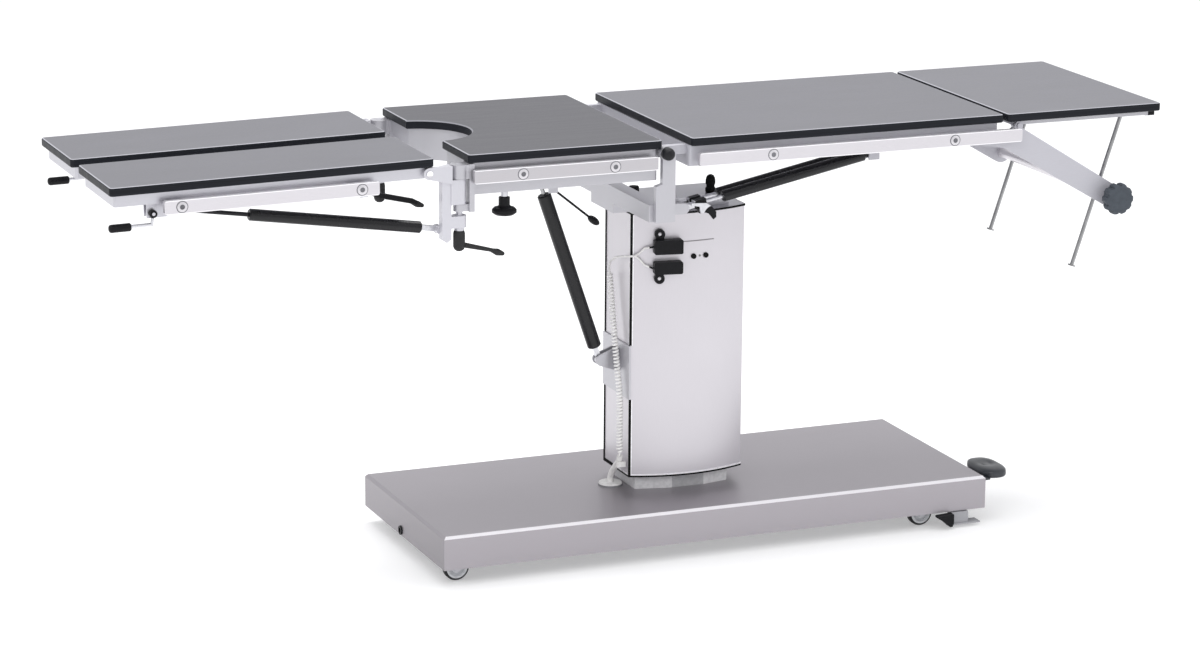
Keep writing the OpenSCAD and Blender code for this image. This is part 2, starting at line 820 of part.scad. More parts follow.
// Plug block with a foot on the cover and an eye above or below it
module plug(z, up, h) {
  translate([plug_x, -bow(plug_x) - seat_gap_air, z])
    rotate([0, 0, plug_turn]) {
      translate([0, -1.5, 0]) rotate([90, 0, 0]) linear_extrude(15.5) plate_2d(-28, 28, h, 3.5);
      translate([-12, -16, 2 - h / 2]) cube([24, 16, h - 4]);
      translate([-16, -2, up * (h / 2 + 10)])
        rotate([90, 0, 0])
          difference() {
            union() {
              cylinder(r = 10, h = 6);
              translate([-8, up > 0 ? -12 : 0, 0]) cube([16, 12, 6]);
            }
            translate([0, 0, -1]) cylinder(r = 4.5, h = 8);
          }
    }
}

module cord_plugs() {
  color(black) {
    for (route = [lead_one, lead_low, lead_high]) {
      swept_tube(route, [for (p = route) [0.6, 0.8, 0]], cord_d / 2, 8);
    }
    plug(plug_z[0], -1, 24);
    plug(plug_z[1], 1, 28);
  }
}

module button(x) {
  y = -bow(x);
  color(black)
    translate([x, y, button_z])
      rotate([90, 0, 0]) {
        translate([0, 0, -column_wall - 3]) cylinder(r = button_r, h = column_wall + 6);
        translate([0, 0, -column_wall - 4]) cylinder(r = button_r + 1.5, h = 2.5);
      }
}

ear_t = 4;

module tilt_anchor() {
  a = tilt_spring_a;
  color(bright) {
    block([column_x0 - 3.1, -column_end_w / 2 - 3, anchor_z0], [column_x0 - 0.1, column_end_w / 2 + 3, anchor_z1]);
    for (s = [-1, 1]) {
      y0 = s > 0 ? eye_w / 2 + 1.5 : -eye_w / 2 - 1.5 - ear_t;
      plate_y([
        [column_x0 - 3.1, a[1] - 24], [column_x0 - 3.1, a[1] + 24], [a[0] - 4, a[1] + 10],
        [a[0] - 4, a[1] - 10]
      ], y0, y0 + ear_t);
      disc_y(a[0], a[1], 10, y0, y0 + ear_t);
    }
    disc_y(a[0], a[1], spring_pin_r, -eye_w / 2 - 1.5, eye_w / 2 + 1.5);
  }
}

module cradle() {
  a = back_spring_a;
  color(steel) {
    difference() {
      union() {
        for (s = [-1, 1]) {
          y0 = s > 0 ? upright_y : -upright_y - upright_t;
          plate_y([
            [-21, riser_z], [18, riser_z], [18, axle_z - 62], [18, axle_z - 3], [12, axle_z],
            [-12, axle_z], [-8, axle_z - 12], [-8, axle_z - 58], [-21, axle_z - 62]
          ], y0, y0 + upright_t);
          disc_y(0, axle_z, 13, y0, y0 + upright_t);
        }
      }
      disc_y(0, axle_z, axle_r + run, -upright_y - upright_t - 1, upright_y + upright_t + 1);
    }
    block([beam_x0, -upright_y, riser_z], [beam_x1, upright_y, riser_z + beam_h]);
    for (y = back_spring_y, s = [-1, 1]) {
      y0 = y + (s > 0 ? eye_w / 2 + 1 : -eye_w / 2 - 1 - 3);
      plate_y([
        [beam_x1, a[1] - 10], [a[0], a[1] - 10], [a[0], a[1] + 10], [beam_x1, a[1] + 14]
      ], y0, y0 + 3);
      disc_y(a[0], a[1], 10, y0, y0 + 3);
    }
    disc_y(a[0], a[1], spring_pin_r, min(back_spring_y) - eye_w / 2 - 1, max(back_spring_y) + eye_w / 2 + 1);
  }
}

seat_lug_y = frame_y - 12;
back_lug_y = seat_lug_y - 14;

module table_axle() {
  color(black)
    for (s = [-1, 1]) {
      mirror([0, s > 0 ? 1 : 0, 0]) {
        disc_y(0, axle_z, axle_r, -upright_y - upright_t, -back_lug_y + 2);
        disc_y(0, axle_z, 10, -back_lug_y + 1, -back_lug_y + 4);
        translate([0, -upright_y - upright_t, axle_z])
          rotate([90, 0, 0])
            rotate_extrude()
              polygon([[0, 0], [12, 0], [12, 9], [11, 13], [8, 16.5], [4, 18], [0, 18.3]]);
      }
    }
}

// Seat section

seat_fx0 = seat_x0 + frame_inset;
seat_fx1 = seat_x1 - 5;

// Heights of the leg knuckles from the top down: seat lug, swivel, seat lug, swivel, clamp
lug_up = [deck_z - 29, deck_z - 3];
swivel_mid = [deck_z - 76, deck_z - 30];
lug_low = [deck_z - 90, deck_z - 77];
swivel_low = [deck_z - 120, deck_z - 98];
clamp_z = [deck_z - 165, deck_z - 127];

module seat_tray() {
  translate([0, 0, deck_z])
    difference() {
      tray(seat_fx0, seat_fx1, frame_w, seat_frame_h);
      translate([cut_x, 0, -seat_frame_h - 1]) cylinder(r = cut_r + 6, h = seat_frame_h + 2, $fn = 96);
    }
  translate([0, 0, deck_z - seat_frame_h])
    linear_extrude(seat_frame_h)
      intersection() {
        translate([seat_fx0, -frame_y + 40]) square([seat_len, frame_w - 80]);
        translate([cut_x, 0])
          difference() {
            circle(cut_r + 6 + frame_wall, $fn = 96);
            circle(cut_r + 6, $fn = 96);
          }
      }
}

module seat_leg_lug(s) {
  y = s * swivel_y;
  block([seat_fx0 - 4, y - (s > 0 ? 20 : 15), lug_low[0] - 1], [seat_fx0 + 6, y + (s > 0 ? 15 : 20), deck_z - 2]);
  difference() {
    union() {
      translate([swivel_x, y, lug_up[0]]) cylinder(r = knuckle_r + 3, h = lug_up[1] - lug_up[0]);
      block([swivel_x, y - 14.5, lug_up[0]], [seat_fx0 - 3, y + 14.5, lug_up[1]]);
      translate([swivel_x, y, lug_low[0]]) cylinder(r = 11, h = lug_low[1] - lug_low[0]);
      block([swivel_x, y - 10, lug_low[0]], [seat_fx0 - 3, y + 10, lug_low[1]]);
    }
    translate([swivel_x, y, lug_low[0] - 2]) cylinder(r = swivel_r + run, h = lug_up[1] - lug_low[0] + 4);
  }
}

knob_x = seat_x0 + 80;
knob_y = -210;
tilt_lever_p = [-161, axle_z - 88];
tilt_lever_y = -70;

module seat_frame() {
  color(steel) {
    seat_tray();
    for (s = [-1, 1]) {
      seat_leg_lug(s);
      difference() {
        union() {
          disc_y(0, axle_z, lug_r, s > 0 ? seat_lug_y : -frame_y, s > 0 ? frame_y : -seat_lug_y);
          block([seat_fx1 - 14, s > 0 ? seat_lug_y : -frame_y + frame_wall, axle_z - 10],
                [0, s > 0 ? frame_y - frame_wall : -seat_lug_y, axle_z + 6]);
        }
        disc_y(0, axle_z, axle_r + run, -frame_y - 1, frame_y + 1);
      }
      y0 = s > 0 ? eye_w / 2 + 3 : -eye_w / 2 - 7;
      block([tilt_spring_b[0] - 12, y0, tilt_spring_b[1] - 14], [tilt_spring_b[0] + 12, y0 + 4, deck_z - frame_wall]);
    }
    difference() {
      block([knob_x - 13, -frame_y + frame_wall, deck_z - seat_frame_h], [knob_x + 13, knob_y + 13, deck_z - seat_frame_h + 18]);
      translate([knob_x, knob_y, deck_z - seat_frame_h - 1]) cylinder(r = 4 + run, h = 22);
    }
    block([tilt_lever_p[0] - 9, tilt_lever_y - 8, tilt_lever_p[1] - 8], [tilt_lever_p[0] + 9, tilt_lever_y - 4, deck_z - frame_wall]);
    disc_y(tilt_lever_p[0], tilt_lever_p[1], 3, tilt_lever_y - 4, tilt_lever_y + 5);
  }
}

module seat_panel() {
  color(board)
    translate([0, 0, deck_z])
      difference() {
        board_slab(seat_x0, seat_x1, -board_w / 2, board_w / 2);
        translate([cut_x, 0, -1]) cylinder(r = cut_r, h = board_t + 2, $fn = 96);
        translate([cut_x, 0, board_t - 2]) cylinder(r1 = cut_r, r2 = cut_r + 3, h = 3, $fn = 96);
      }
}

module seat_rails() {
  color(bright)
    for (s = [-1, 1]) {
      rail(seat_fx0, seat_x1 - 13, rail_z, [seat_x0 + 102, seat_x1 - 102], s);
    }
}

module tilt_lever() {
  p = tilt_lever_p;
  q = [p[0] + 85, p[1] - 69];
  color(black) {
    difference() {
      disc_y(p[0], p[1], 6.5, tilt_lever_y - 3.5, tilt_lever_y + 3.5);
      disc_y(p[0], p[1], 3 + run, tilt_lever_y - 5, tilt_lever_y + 5);
    }
    along(p, q, tilt_lever_y) {
      translate([0, 0, 6]) cylinder(r = 2.2, h = span(p, q) - 6);
      translate([0, 0, span(p, q)]) scale([0.55, 1, 1]) sphere(r = 13, $fn = 24);
    }
  }
}

module seat_knob() {
  z = deck_z - seat_frame_h;
  color(black)
    translate([knob_x, knob_y, z]) {
      translate([0, 0, -6]) cylinder(r = 4, h = 22);
      rotate_extrude()
        polygon([
          [0, -2], [6.5, -2], [6.5, -11], [10.5, -12.5], [10.5, -28], [14, -31], [knob_r - 4, -32],
          [knob_r, -36], [knob_r, -41], [knob_r - 5, -45], [0, -47]
        ]);
    }
}

// Gas springs

module tilt_spring_barrel() {
  a = tilt_spring_a;
  color(black)
    along(a, tilt_spring_b, 0) {
      eye(eye_r, eye_w);
      eye_neck(eye_r, eye_w, 30);
      difference() {
        translate([0, 0, 28]) barrel(tilt_spring_r, span(a, tilt_spring_b) - 121);
        translate([0, 0, 120]) cylinder(r = rod_r + run, h = 320);
      }
    }
}

module tilt_spring_rod() {
  color(bright)
    along(tilt_spring_b, tilt_spring_a, 0) {
      eye(eye_r, eye_w);
      eye_neck(eye_r, eye_w, 18);
      translate([0, 0, 17]) cylinder(r = rod_r, h = 190);
    }
}

module back_spring_barrels() {
  color(black)
    for (y = back_spring_y) {
      along(back_spring_u, back_spring_a, y) {
        eye(eye_r, eye_w);
        eye_neck(eye_r, eye_w, 18);
        difference() {
          translate([0, 0, 17]) barrel(spring_r, back_spring_len - 83 - 17);
          translate([0, 0, 90]) cylinder(r = rod_r + run, h = 300);
        }
      }
    }
}

module back_spring_rods() {
  color(bright)
    for (y = back_spring_y) {
      along(back_spring_a, back_spring_u, y) {
        eye(eye_r, eye_w);
        eye_neck(eye_r, eye_w, 24);
        translate([-8, -7, 23]) cube([16, 14, 24]);
        translate([0, 0, 46]) cylinder(r = rod_r, h = 200);
      }
    }
  color(bright)
    along(back_spring_a, back_spring_u, back_spring_y[0]) {
      difference() {
        translate([7, -7, back_lever_p[1] - 6]) cube([11, 14, 12]);
        translate([back_lever_p[0], 0, back_lever_p[1]])
          rotate([90, 0, 0]) cylinder(r = 3 + run, h = 16, center = true);
      }
    }
}

// Pivot of the back springs' release lever: distance under the near rod, then along it
back_lever_p = [12, 36];

module back_spring_lever() {
  p = back_lever_p;
  color(black)
    along(back_spring_a, back_spring_u, back_spring_y[0]) {
      translate([0, -8, 0])
        rotate([90, 0, 0])
          linear_extrude(4)
            polygon([
              [-7, 15], [-3, 14], [3, 29], [p[0] - 5, p[1] - 6], [p[0] + 4, p[1] - 6], [p[0] + 6, p[1] + 4],
              [22, 46], [35, 53], [32, 59], [22, 61], [9, 54], [0, 44], [-6, 20]
            ]);
      translate([p[0], -9, p[1]]) rotate([-90, 0, 0]) cylinder(r = 3, h = 16.5);
    }
}

module leg_spring_barrel(s) {
  a = leg_spring_a;
  color(black)
    along(a, leg_spring_b, s * leg_spring_y) {
      eye(eye_r, eye_w);
      eye_neck(eye_r, eye_w, 34);
      difference() {
        translate([0, 0, 32]) barrel(spring_r, 330);
        translate([0, 0, 130]) cylinder(r = rod_r + run, h = 260);
      }
    }
}

module leg_spring_rod(s) {
  color(bright)
    along(leg_spring_b, leg_spring_a, s * leg_spring_y) {
      eye(eye_r, eye_w);
      eye_neck(eye_r, eye_w, 18);
      translate([0, 0, 17]) cylinder(r = rod_r, h = 190);
    }
}

// Back section

back_fx1 = back_x1 - 6;
arm_t = 6;
arm_y = frame_y - frame_wall;

module back_arm(s) {
  h = head_hinge;
  t = stay_low;
  y0 = s > 0 ? arm_y : -arm_y - arm_t;
  translate([0, y0 + arm_t, 0])
    rotate([90, 0, 0])
      linear_extrude(arm_t)
        difference() {
          union() {
            hull() {
              translate(t) circle(22);
              translate([h[0] - 25, h[1] - 37]) circle(7);
              translate([h[0] - 1, h[1] - 5]) circle(4);
            }
            translate(h) circle(head_lug_r);
            polygon([
              [back_fx1 - 60, deck_z - back_frame_h], [h[0] - 20, h[1] - 44],
              [h[0] - 12, h[1] - 2], [h[0] - 28, h[1] - 13], [back_fx1 - 60, h[1] - 13]
            ]);
          }
          translate(t) circle(cross_r + run);
        }
}

module back_frame() {
  color(steel) {
    translate([0, 0, deck_z]) tray(back_x0, back_fx1, frame_w, back_frame_h);
    for (s = [-1, 1]) {
      difference() {
        union() {
          disc_y(0, axle_z, lug_r, s > 0 ? back_lug_y : -seat_lug_y + 1.5, s > 0 ? seat_lug_y - 1.5 : -back_lug_y);
          block([0, s > 0 ? back_lug_y : -seat_lug_y + 1.5, axle_z - 9],
                [back_x0 + 1, s > 0 ? seat_lug_y - 1.5 : -back_lug_y, axle_z + 8]);
        }
        disc_y(0, axle_z, axle_r + run, -frame_y - 1, frame_y + 1);
      }
      back_arm(s);
      disc_y(head_hinge[0], head_hinge[1], 5, s > 0 ? arm_y - 11 : -arm_y - arm_t - 3, s > 0 ? arm_y + arm_t + 3 : -arm_y + 11);
    }
    for (y = back_spring_y, s = [-1, 1]) {
      y0 = y + (s > 0 ? eye_w / 2 + 2 : -eye_w / 2 - 5);
      block([back_spring_u[0] - 10, y0, back_spring_u[1] - 12], [back_spring_u[0] + 12, y0 + 3, deck_z - frame_wall]);
    }
  }
}

module back_panel() {
  color(board)
    translate([0, 0, deck_z]) board_slab(back_x0, back_x1, -board_w / 2, board_w / 2);
}

module back_rails() {
  color(bright)
    for (s = [-1, 1]) {
      rail(back_x0 + 12, back_x1 + 35, rail_z, [back_x0 + 162, back_x1 - 110], s);
    }
}

// Head section

head_fx0 = head_x0 + 20;
head_fx1 = head_x1 - 20;
head_y = arm_y - 2;

module head_frame() {
  h = head_hinge;
  color(steel) {
    translate([0, 0, deck_z])
      difference() {
        tray(head_fx0, head_fx1, 2 * head_y, head_frame_h);
        translate([h[0], 0, h[1] - deck_z])
          rotate([90, 0, 0]) cylinder(r = 5.5, h = 2 * head_y + 2, center = true);
      }
    for (s = [-1, 1]) {
      difference() {
        union() {
          disc_y(h[0], h[1], head_lug_r, s > 0 ? head_y - 10 : -head_y, s > 0 ? head_y : -head_y + 10);
        }
        disc_y(h[0], h[1], 5 + run, -head_y - 1, head_y + 1);
      }
      for (e = [-1, 1]) {
        y0 = s * stay_span / 2 + (e > 0 ? 6 : -9);
        block([stay_top[0] - 9, y0, stay_top[1] - 9], [stay_top[0] + 9, y0 + 3, deck_z - frame_wall]);
      }
      disc_y(stay_top[0], stay_top[1], spring_pin_r, s * stay_span / 2 - 6, s * stay_span / 2 + 6);
    }
    block([head_fx1 - 2, -board_w / 2 + 22, deck_z - 12], [head_x1 - 2, -board_w / 2 + 46, deck_z]);
  }
}

module head_panel() {
  color(board)
    translate([0, 0, deck_z]) board_slab(head_x0, head_x1, -board_w / 2, board_w / 2);
}

module head_stay_rods() {
  color(bright)
    for (s = [-1, 1]) {
      along(stay_top, stay_low, s * stay_span / 2) {
        eye(7, eye_w);
        translate([0, 0, 6]) cylinder(r = rod_r, h = stay_len - 6);
        translate([0, 0, stay_len - 3]) cylinder(r = 8, h = 3);
      }
    }
}

star_y0 = arm_y + arm_t + 7;

// Tube with slanting bores for the stay rods, and a stud for the star knob
module head_cross_tube() {
  color(bright)
    difference() {
      union() {
        disc_y(stay_low[0], stay_low[1], cross_r, -arm_y - arm_t - 3, arm_y + arm_t + 7);
        disc_y(stay_low[0], stay_low[1], 5, -star_y0 - 20, -arm_y);
      }
      for (s = [-1, 1]) {
        along(stay_low, stay_top, s * stay_span / 2)
          cylinder(r = rod_r + 0.3, h = 3 * cross_r, center = true);
      }
    }
}

module star_knob() {
  color(black)
    translate([stay_low[0], -star_y0, stay_low[1]])
      rotate([90, 0, 0])
        difference() {
          union() {
            cylinder(r = 12, h = 10);
            intersection() {
              union() {
                cylinder(r = star_r - 5, h = 32);
                for (i = [0 : star_lobes - 1]) {
                  rotate([0, 0, 360 * i / star_lobes])
                    translate([star_r - 6, 0, 0]) cylinder(r = 6, h = 32);
                }
              }
              rotate_extrude()
                polygon([
                  [0, 8], [star_r - 6, 8], [star_r - 2, 9.5], [star_r, 13], [star_r, 23],
                  [star_r - 2, 28], [star_r - 7, 31], [0, 32]
                ]);
            }
          }
          translate([0, 0, -1]) cylinder(r = 5 + run, h = 22);
        }
}

// Leg sections

leg_fx0 = leg_x0 + 10;
leg_fx1 = leg_x1 - 6;
leg_y0 = leg_between / 2;
leg_rail_z = leg_top - 30 - rail_h / 2;
leg_screws = [leg_x0 + 127, leg_x1 - 142];
crank_p = [flex[0] - 510.6, leg_deck - 43];
lever_p = [flex[0] - 104, leg_deck - 52];
lever_y = 165;

module drooped() {
  translate([flex[0], 0, flex[1]])
    rotate([0, -leg_droop, 0])
      translate([-flex[0], 0, -flex[1]]) children();
}

module leg_side(s) {
  mirror([0, s > 0 ? 1 : 0, 0]) children();
}

module leg_swivel(s) {
  color(steel)
    leg_side(s) {
      translate([swivel_x, -swivel_y, 0]) {
        translate([0, 0, clamp_z[0] + 7]) cylinder(r = swivel_r, h = lug_up[1] - clamp_z[0] - 6.5);
        translate([0, 0, swivel_mid[0]])
          difference() {
            cylinder(r = knuckle_r, h = swivel_mid[1] - swivel_mid[0]);
            translate([9, -20, -1]) cube([20, 40, 60]);
          }
        block([-20, -knuckle_r + 0.5, swivel_mid[0]], [-2, knuckle_r - 6, swivel_mid[1]]);
        translate([0, 0, swivel_low[0]]) cylinder(r = knuckle_r - 1, h = swivel_low[1] - swivel_low[0]);
        block([-20, -knuckle_r + 2, swivel_low[0]], [-2, knuckle_r - 8, swivel_low[1]]);
        translate([0, 0, clamp_z[1] + 0.5]) cylinder(r = 9, h = swivel_low[0] - clamp_z[1]);
      }
      plate_y([
        [swivel_x - 37, deck_z - 140], [swivel_x - 28, deck_z - 146], [swivel_x - 19, deck_z - 140],
        [swivel_x - 19, deck_z - 3], [swivel_x - 37, deck_z - 6]
      ], -swivel_y - 12, -swivel_y + 6);
      difference() {
        union() {
          disc_y(flex[0], flex[1], nose_r, -swivel_y - 18, -swivel_y - 8);
          plate_y([
            [flex[0], flex[1] - nose_r], [swivel_x - 19, flex[1] - 22], [swivel_x - 19, deck_z - 3],
            [flex[0] + 10, deck_z - 3], [flex[0], flex[1] + nose_r]
          ], -swivel_y - 18, -swivel_y - 8);
        }
        disc_y(flex[0], flex[1], 6 + run, -swivel_y - 19, -swivel_y - 7);
      }
      disc_y(leg_spring_a[0], leg_spring_a[1], spring_pin_r, -swivel_y + 6, -leg_spring_y + eye_w / 2 + 3);
      disc_y(leg_spring_a[0], leg_spring_a[1], 7, -swivel_y + 6, -leg_spring_y - eye_w / 2 - 0.5);
      disc_y(leg_spring_a[0], leg_spring_a[1], 6, -leg_spring_y + eye_w / 2 + 0.5, -leg_spring_y + eye_w / 2 + 3);
    }
}

module leg_tray() {
  w = (board_w - leg_between) / 2 - (board_w / 2 - frame_y) - 6;
  translate([0, -frame_y + w / 2, leg_deck]) tray(leg_fx0, leg_fx1, w, leg_frame_h);
}

module leg_frame(s) {
  b = leg_spring_b_local;
  color(steel)
    leg_side(s)
      drooped() {
        leg_tray();
        disc_y(flex[0], flex[1], nose_r, -swivel_y - 7.5, -swivel_y + 5);
        block([flex[0] - 30, -swivel_y - 7.5 + 1.5, flex[1] - 2], [flex[0], -swivel_y + 5, leg_deck - frame_wall]);
        disc_y(flex[0], flex[1], 6, -swivel_y - 20, -swivel_y);
        for (x = leg_screws) {
          block([x - 14, -frame_y, leg_rail_z - rail_h / 2], [x + 14, -frame_y + frame_wall, leg_deck - 2]);
        }
        rail(leg_screws[0] - 32, leg_screws[1] + 33, leg_rail_z, leg_screws, -1);
        for (y = [-leg_spring_y - eye_w / 2 - 6, -leg_spring_y + eye_w / 2 + 2]) {
          block([b[0] - 26, y, b[1] - 14], [b[0] + 12, y + 4, leg_deck - frame_wall]);
        }
        disc_y(crank_p[0], crank_p[1], 3, -leg_spring_y - eye_w / 2 - 16, -leg_spring_y - eye_w / 2 - 2);
        for (y = [-lever_y - 9, -lever_y + 5]) {
          block([lever_p[0] - 8, y, lever_p[1] - 7], [lever_p[0] + 8, y + 4, leg_deck - frame_wall]);
        }
        disc_y(lever_p[0], lever_p[1], 3, -lever_y - 5, -lever_y + 5);
      }
}

module leg_panel(s) {
  color(board)
    leg_side(s)
      drooped()
        translate([0, 0, leg_deck]) board_slab(leg_x0, leg_x1, -board_w / 2, -leg_y0);
}

module leg_crank(s) {
  p = crank_p;
  y = -leg_spring_y - eye_w / 2 - 11;
  color(black)
    leg_side(s)
      drooped() {
        difference() {
          disc_y(p[0], p[1], 7, y - 4, y + 4);
          disc_y(p[0], p[1], 3 + run, y - 5, y + 5);
        }
        along(p, p + [-3, -19], y) translate([0, 0, 6]) cylinder(r = 3, h = 13);
        translate([p[0] - 3, y, p[1] - 19]) sphere(r = 3, $fn = 24);
        translate([p[0] - 3, y, p[1] - 19]) rotate([0, -90, 0]) cylinder(r = 3, h = 42);
        translate([p[0] - 41, y, p[1] - 20])
          rotate([0, -90, 0])
            rotate_extrude()
              polygon([[0, 0], [5.5, 0], [7.5, 2.5], [7.5, 36], [6.5, 39], [4, 40.5], [0, 41]]);
      }
}

module leg_clamp(s) {
  bore = swivel_r + run;
  top = clamp_z[1] - clamp_z[0];
  color(black)
    leg_side(s)
      translate([swivel_x, -swivel_y, clamp_z[0]]) {
        rotate_extrude()
          polygon([
            [0, 0], [5, 0], [9, 3], [11, 8], [11, top - 5], [9.5, top], [bore, top], [bore, 6], [0, 6]
          ]);
        hull() {
          translate([12.5, 1, 9]) sphere(r = 5, $fn = 20);
          translate([66, 3, -5]) sphere(r = 3.6, $fn = 20);
        }
        hull() {
          translate([64, 3, -5]) sphere(r = 3.6, $fn = 20);
          translate([76, 3, -9.5]) sphere(r = 6.5, $fn = 20);
          translate([86, 3, -13]) sphere(r = 4, $fn = 20);
        }
      }
}

module leg_lever(s) {
  p = lever_p;
  color(black)
    leg_side(s)
      drooped() {
        difference() {
          disc_y(p[0], p[1], 7, -lever_y - 4.5, -lever_y + 4.5);
          disc_y(p[0], p[1], 3 + run, -lever_y - 6, -lever_y + 6);
        }
        plate_y([
          [p[0] + 4, p[1] + 5], [p[0] + 55, p[1] - 9], [p[0] + 97, p[1] - 20], [p[0] + 106, p[1] - 25],
          [p[0] + 103, p[1] - 30], [p[0] + 92, p[1] - 27], [p[0] + 50, p[1] - 16], [p[0] + 5, p[1] - 4]
        ], -lever_y - 4, -lever_y + 4);
      }
}

base_cover();
base_frame();
column_inner();
lift_actuator();
power_socket();
cord_gland();
curly_cord();
castor_fork(0);  // castor_fork_1
castor_fork(1);  // castor_fork_2
castor_fork(2);  // castor_fork_3
castor_fork(3);  // castor_fork_4
castor_wheel(0);  // castor_wheel_1
castor_wheel(1);  // castor_wheel_2
castor_wheel(2);  // castor_wheel_3
castor_wheel(3);  // castor_wheel_4
brake_pedal();
floor_lock_lever();
column_head();
column_covers();
column_trim();
cord_plugs();
button(button_x[0]);  // button_up
button(button_x[1]);  // button_down
tilt_anchor();
cradle();
table_axle();
seat_frame();
seat_panel();
seat_rails();
tilt_lever();
seat_knob();
tilt_spring_barrel();
tilt_spring_rod();
back_spring_barrels();
back_spring_rods();
back_spring_lever();
back_frame();
back_panel();
back_rails();
head_frame();
head_panel();
head_stay_rods();
head_cross_tube();
star_knob();
leg_swivel(-1);  // leg_swivel_near
leg_frame(-1);  // leg_frame_near
leg_panel(-1);  // leg_panel_near
leg_spring_barrel(-1);  // leg_spring_barrel_near
leg_spring_rod(-1);  // leg_spring_rod_near
leg_crank(-1);  // leg_crank_near
leg_clamp(-1);  // leg_clamp_near
leg_lever(-1);  // leg_lever_near
leg_swivel(1);  // leg_swivel_far
leg_frame(1);  // leg_frame_far
leg_panel(1);  // leg_panel_far
leg_spring_barrel(1);  // leg_spring_barrel_far
leg_spring_rod(1);  // leg_spring_rod_far
leg_crank(1);  // leg_crank_far
leg_clamp(1);  // leg_clamp_far
leg_lever(1);  // leg_lever_far
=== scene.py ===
"""Gynecological operating table, dressed for its photograph.

The frame carries every metal and plastic part. This script sets the camera, winds the curly
cord, rounds the foot pedal, adds the small trim, and gives each part its finish. Lengths are
in metres.
"""

import math

import bpy
import numpy as np
from mathutils import Matrix, Vector

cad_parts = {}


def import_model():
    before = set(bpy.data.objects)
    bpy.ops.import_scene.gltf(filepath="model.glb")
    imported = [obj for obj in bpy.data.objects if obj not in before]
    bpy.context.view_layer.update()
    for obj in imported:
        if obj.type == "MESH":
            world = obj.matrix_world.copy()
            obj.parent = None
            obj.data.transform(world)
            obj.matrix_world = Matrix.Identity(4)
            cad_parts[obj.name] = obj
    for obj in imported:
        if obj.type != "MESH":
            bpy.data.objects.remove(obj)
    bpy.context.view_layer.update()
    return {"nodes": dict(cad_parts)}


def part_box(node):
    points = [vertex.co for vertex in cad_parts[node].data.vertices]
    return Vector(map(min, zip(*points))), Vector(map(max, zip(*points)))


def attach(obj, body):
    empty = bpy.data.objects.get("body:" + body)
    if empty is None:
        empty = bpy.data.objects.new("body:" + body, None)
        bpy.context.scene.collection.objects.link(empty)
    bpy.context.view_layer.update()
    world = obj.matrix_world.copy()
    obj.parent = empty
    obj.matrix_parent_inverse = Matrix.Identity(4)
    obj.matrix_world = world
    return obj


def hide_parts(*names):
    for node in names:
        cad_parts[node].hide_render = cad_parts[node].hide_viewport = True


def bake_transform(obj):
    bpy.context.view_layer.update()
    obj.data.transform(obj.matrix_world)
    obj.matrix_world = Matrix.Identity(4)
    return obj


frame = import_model()
nodes = frame["nodes"]

MM = 0.001

# Camera, as fitted to the photograph
CAMERA_PLACE = (-2.810176, -6.701366, 2.264596)
CAMERA_YAW = 0.393
CAMERA_PITCH = 0.249
CAMERA_ROLL = 0.008
CAMERA_LENS = 116.53
CAMERA_REACH = 60
SENSOR_WIDTH = 36.0


def add_camera():
    """The view direction leans down by the pitch and turns right by the yaw; roll turns the frame."""
    forward = Vector((
        math.sin(CAMERA_YAW) * math.cos(CAMERA_PITCH),
        math.cos(CAMERA_YAW) * math.cos(CAMERA_PITCH),
        -math.sin(CAMERA_PITCH),
    ))
    level = Vector((math.cos(CAMERA_YAW), -math.sin(CAMERA_YAW), 0))
    upward = level.cross(forward)
    right = level * math.cos(CAMERA_ROLL) + upward * math.sin(CAMERA_ROLL)
    up = upward * math.cos(CAMERA_ROLL) - level * math.sin(CAMERA_ROLL)
    turn = Matrix((right, up, -forward)).transposed().to_4x4()
    data = bpy.data.cameras.new("camera")
    data.lens = CAMERA_LENS
    data.sensor_width = SENSOR_WIDTH
    data.sensor_fit = "HORIZONTAL"
    data.clip_end = CAMERA_REACH
    camera = bpy.data.objects.new("camera", data)
    camera.matrix_world = Matrix.Translation(CAMERA_PLACE) @ turn
    bpy.context.scene.collection.objects.link(camera)
    bpy.context.scene.camera = camera


add_camera()
bpy.context.scene.view_settings.view_transform = "Standard"


# Surfaces

def mesh_piece(name, points, faces, body, second=None):
    """A piece from an array of points and a list of faces, riding on a body.

    A face whose entry in second is 1 takes the piece's second finish."""
    mesh = bpy.data.meshes.new(name)
    mesh.from_pydata(np.asarray(points, float).tolist(), [], [tuple(f) for f in faces])
    mesh.polygons.foreach_set("use_smooth", np.ones(len(mesh.polygons), bool))
    if second is not None:
        mesh.polygons.foreach_set("material_index", np.asarray(second, np.int32))
    mesh.update()
    piece = bpy.data.objects.new(name, mesh)
    bpy.context.scene.collection.objects.link(piece)
    if body:
        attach(piece, body)
    return piece


def tube_faces(rings, sides, first=0, closed=False):
    """Quads between neighbouring rings, with a cap at each end or, when closed, from last ring to first."""
    row = np.arange(rings if closed else rings - 1)[:, None] * sides
    after = (row + sides) % (rings * sides)
    k = np.arange(sides)[None, :]
    n = (k + 1) % sides
    quads = np.stack([row + k, row + n, after + n, after + k], -1).reshape(-1, 4) + first
    faces = [tuple(q) for q in quads.tolist()]
    if not closed:
        last = (rings - 1) * sides + first
        faces.append(tuple(range(first + sides - 1, first - 1, -1)))
        faces.append(tuple(range(last, last + sides)))
    return faces


def full_turn(sides):
    """The angles of a ring's points, evenly spaced round one turn."""
    return np.linspace(0, 2 * np.pi, sides, endpoint=False)


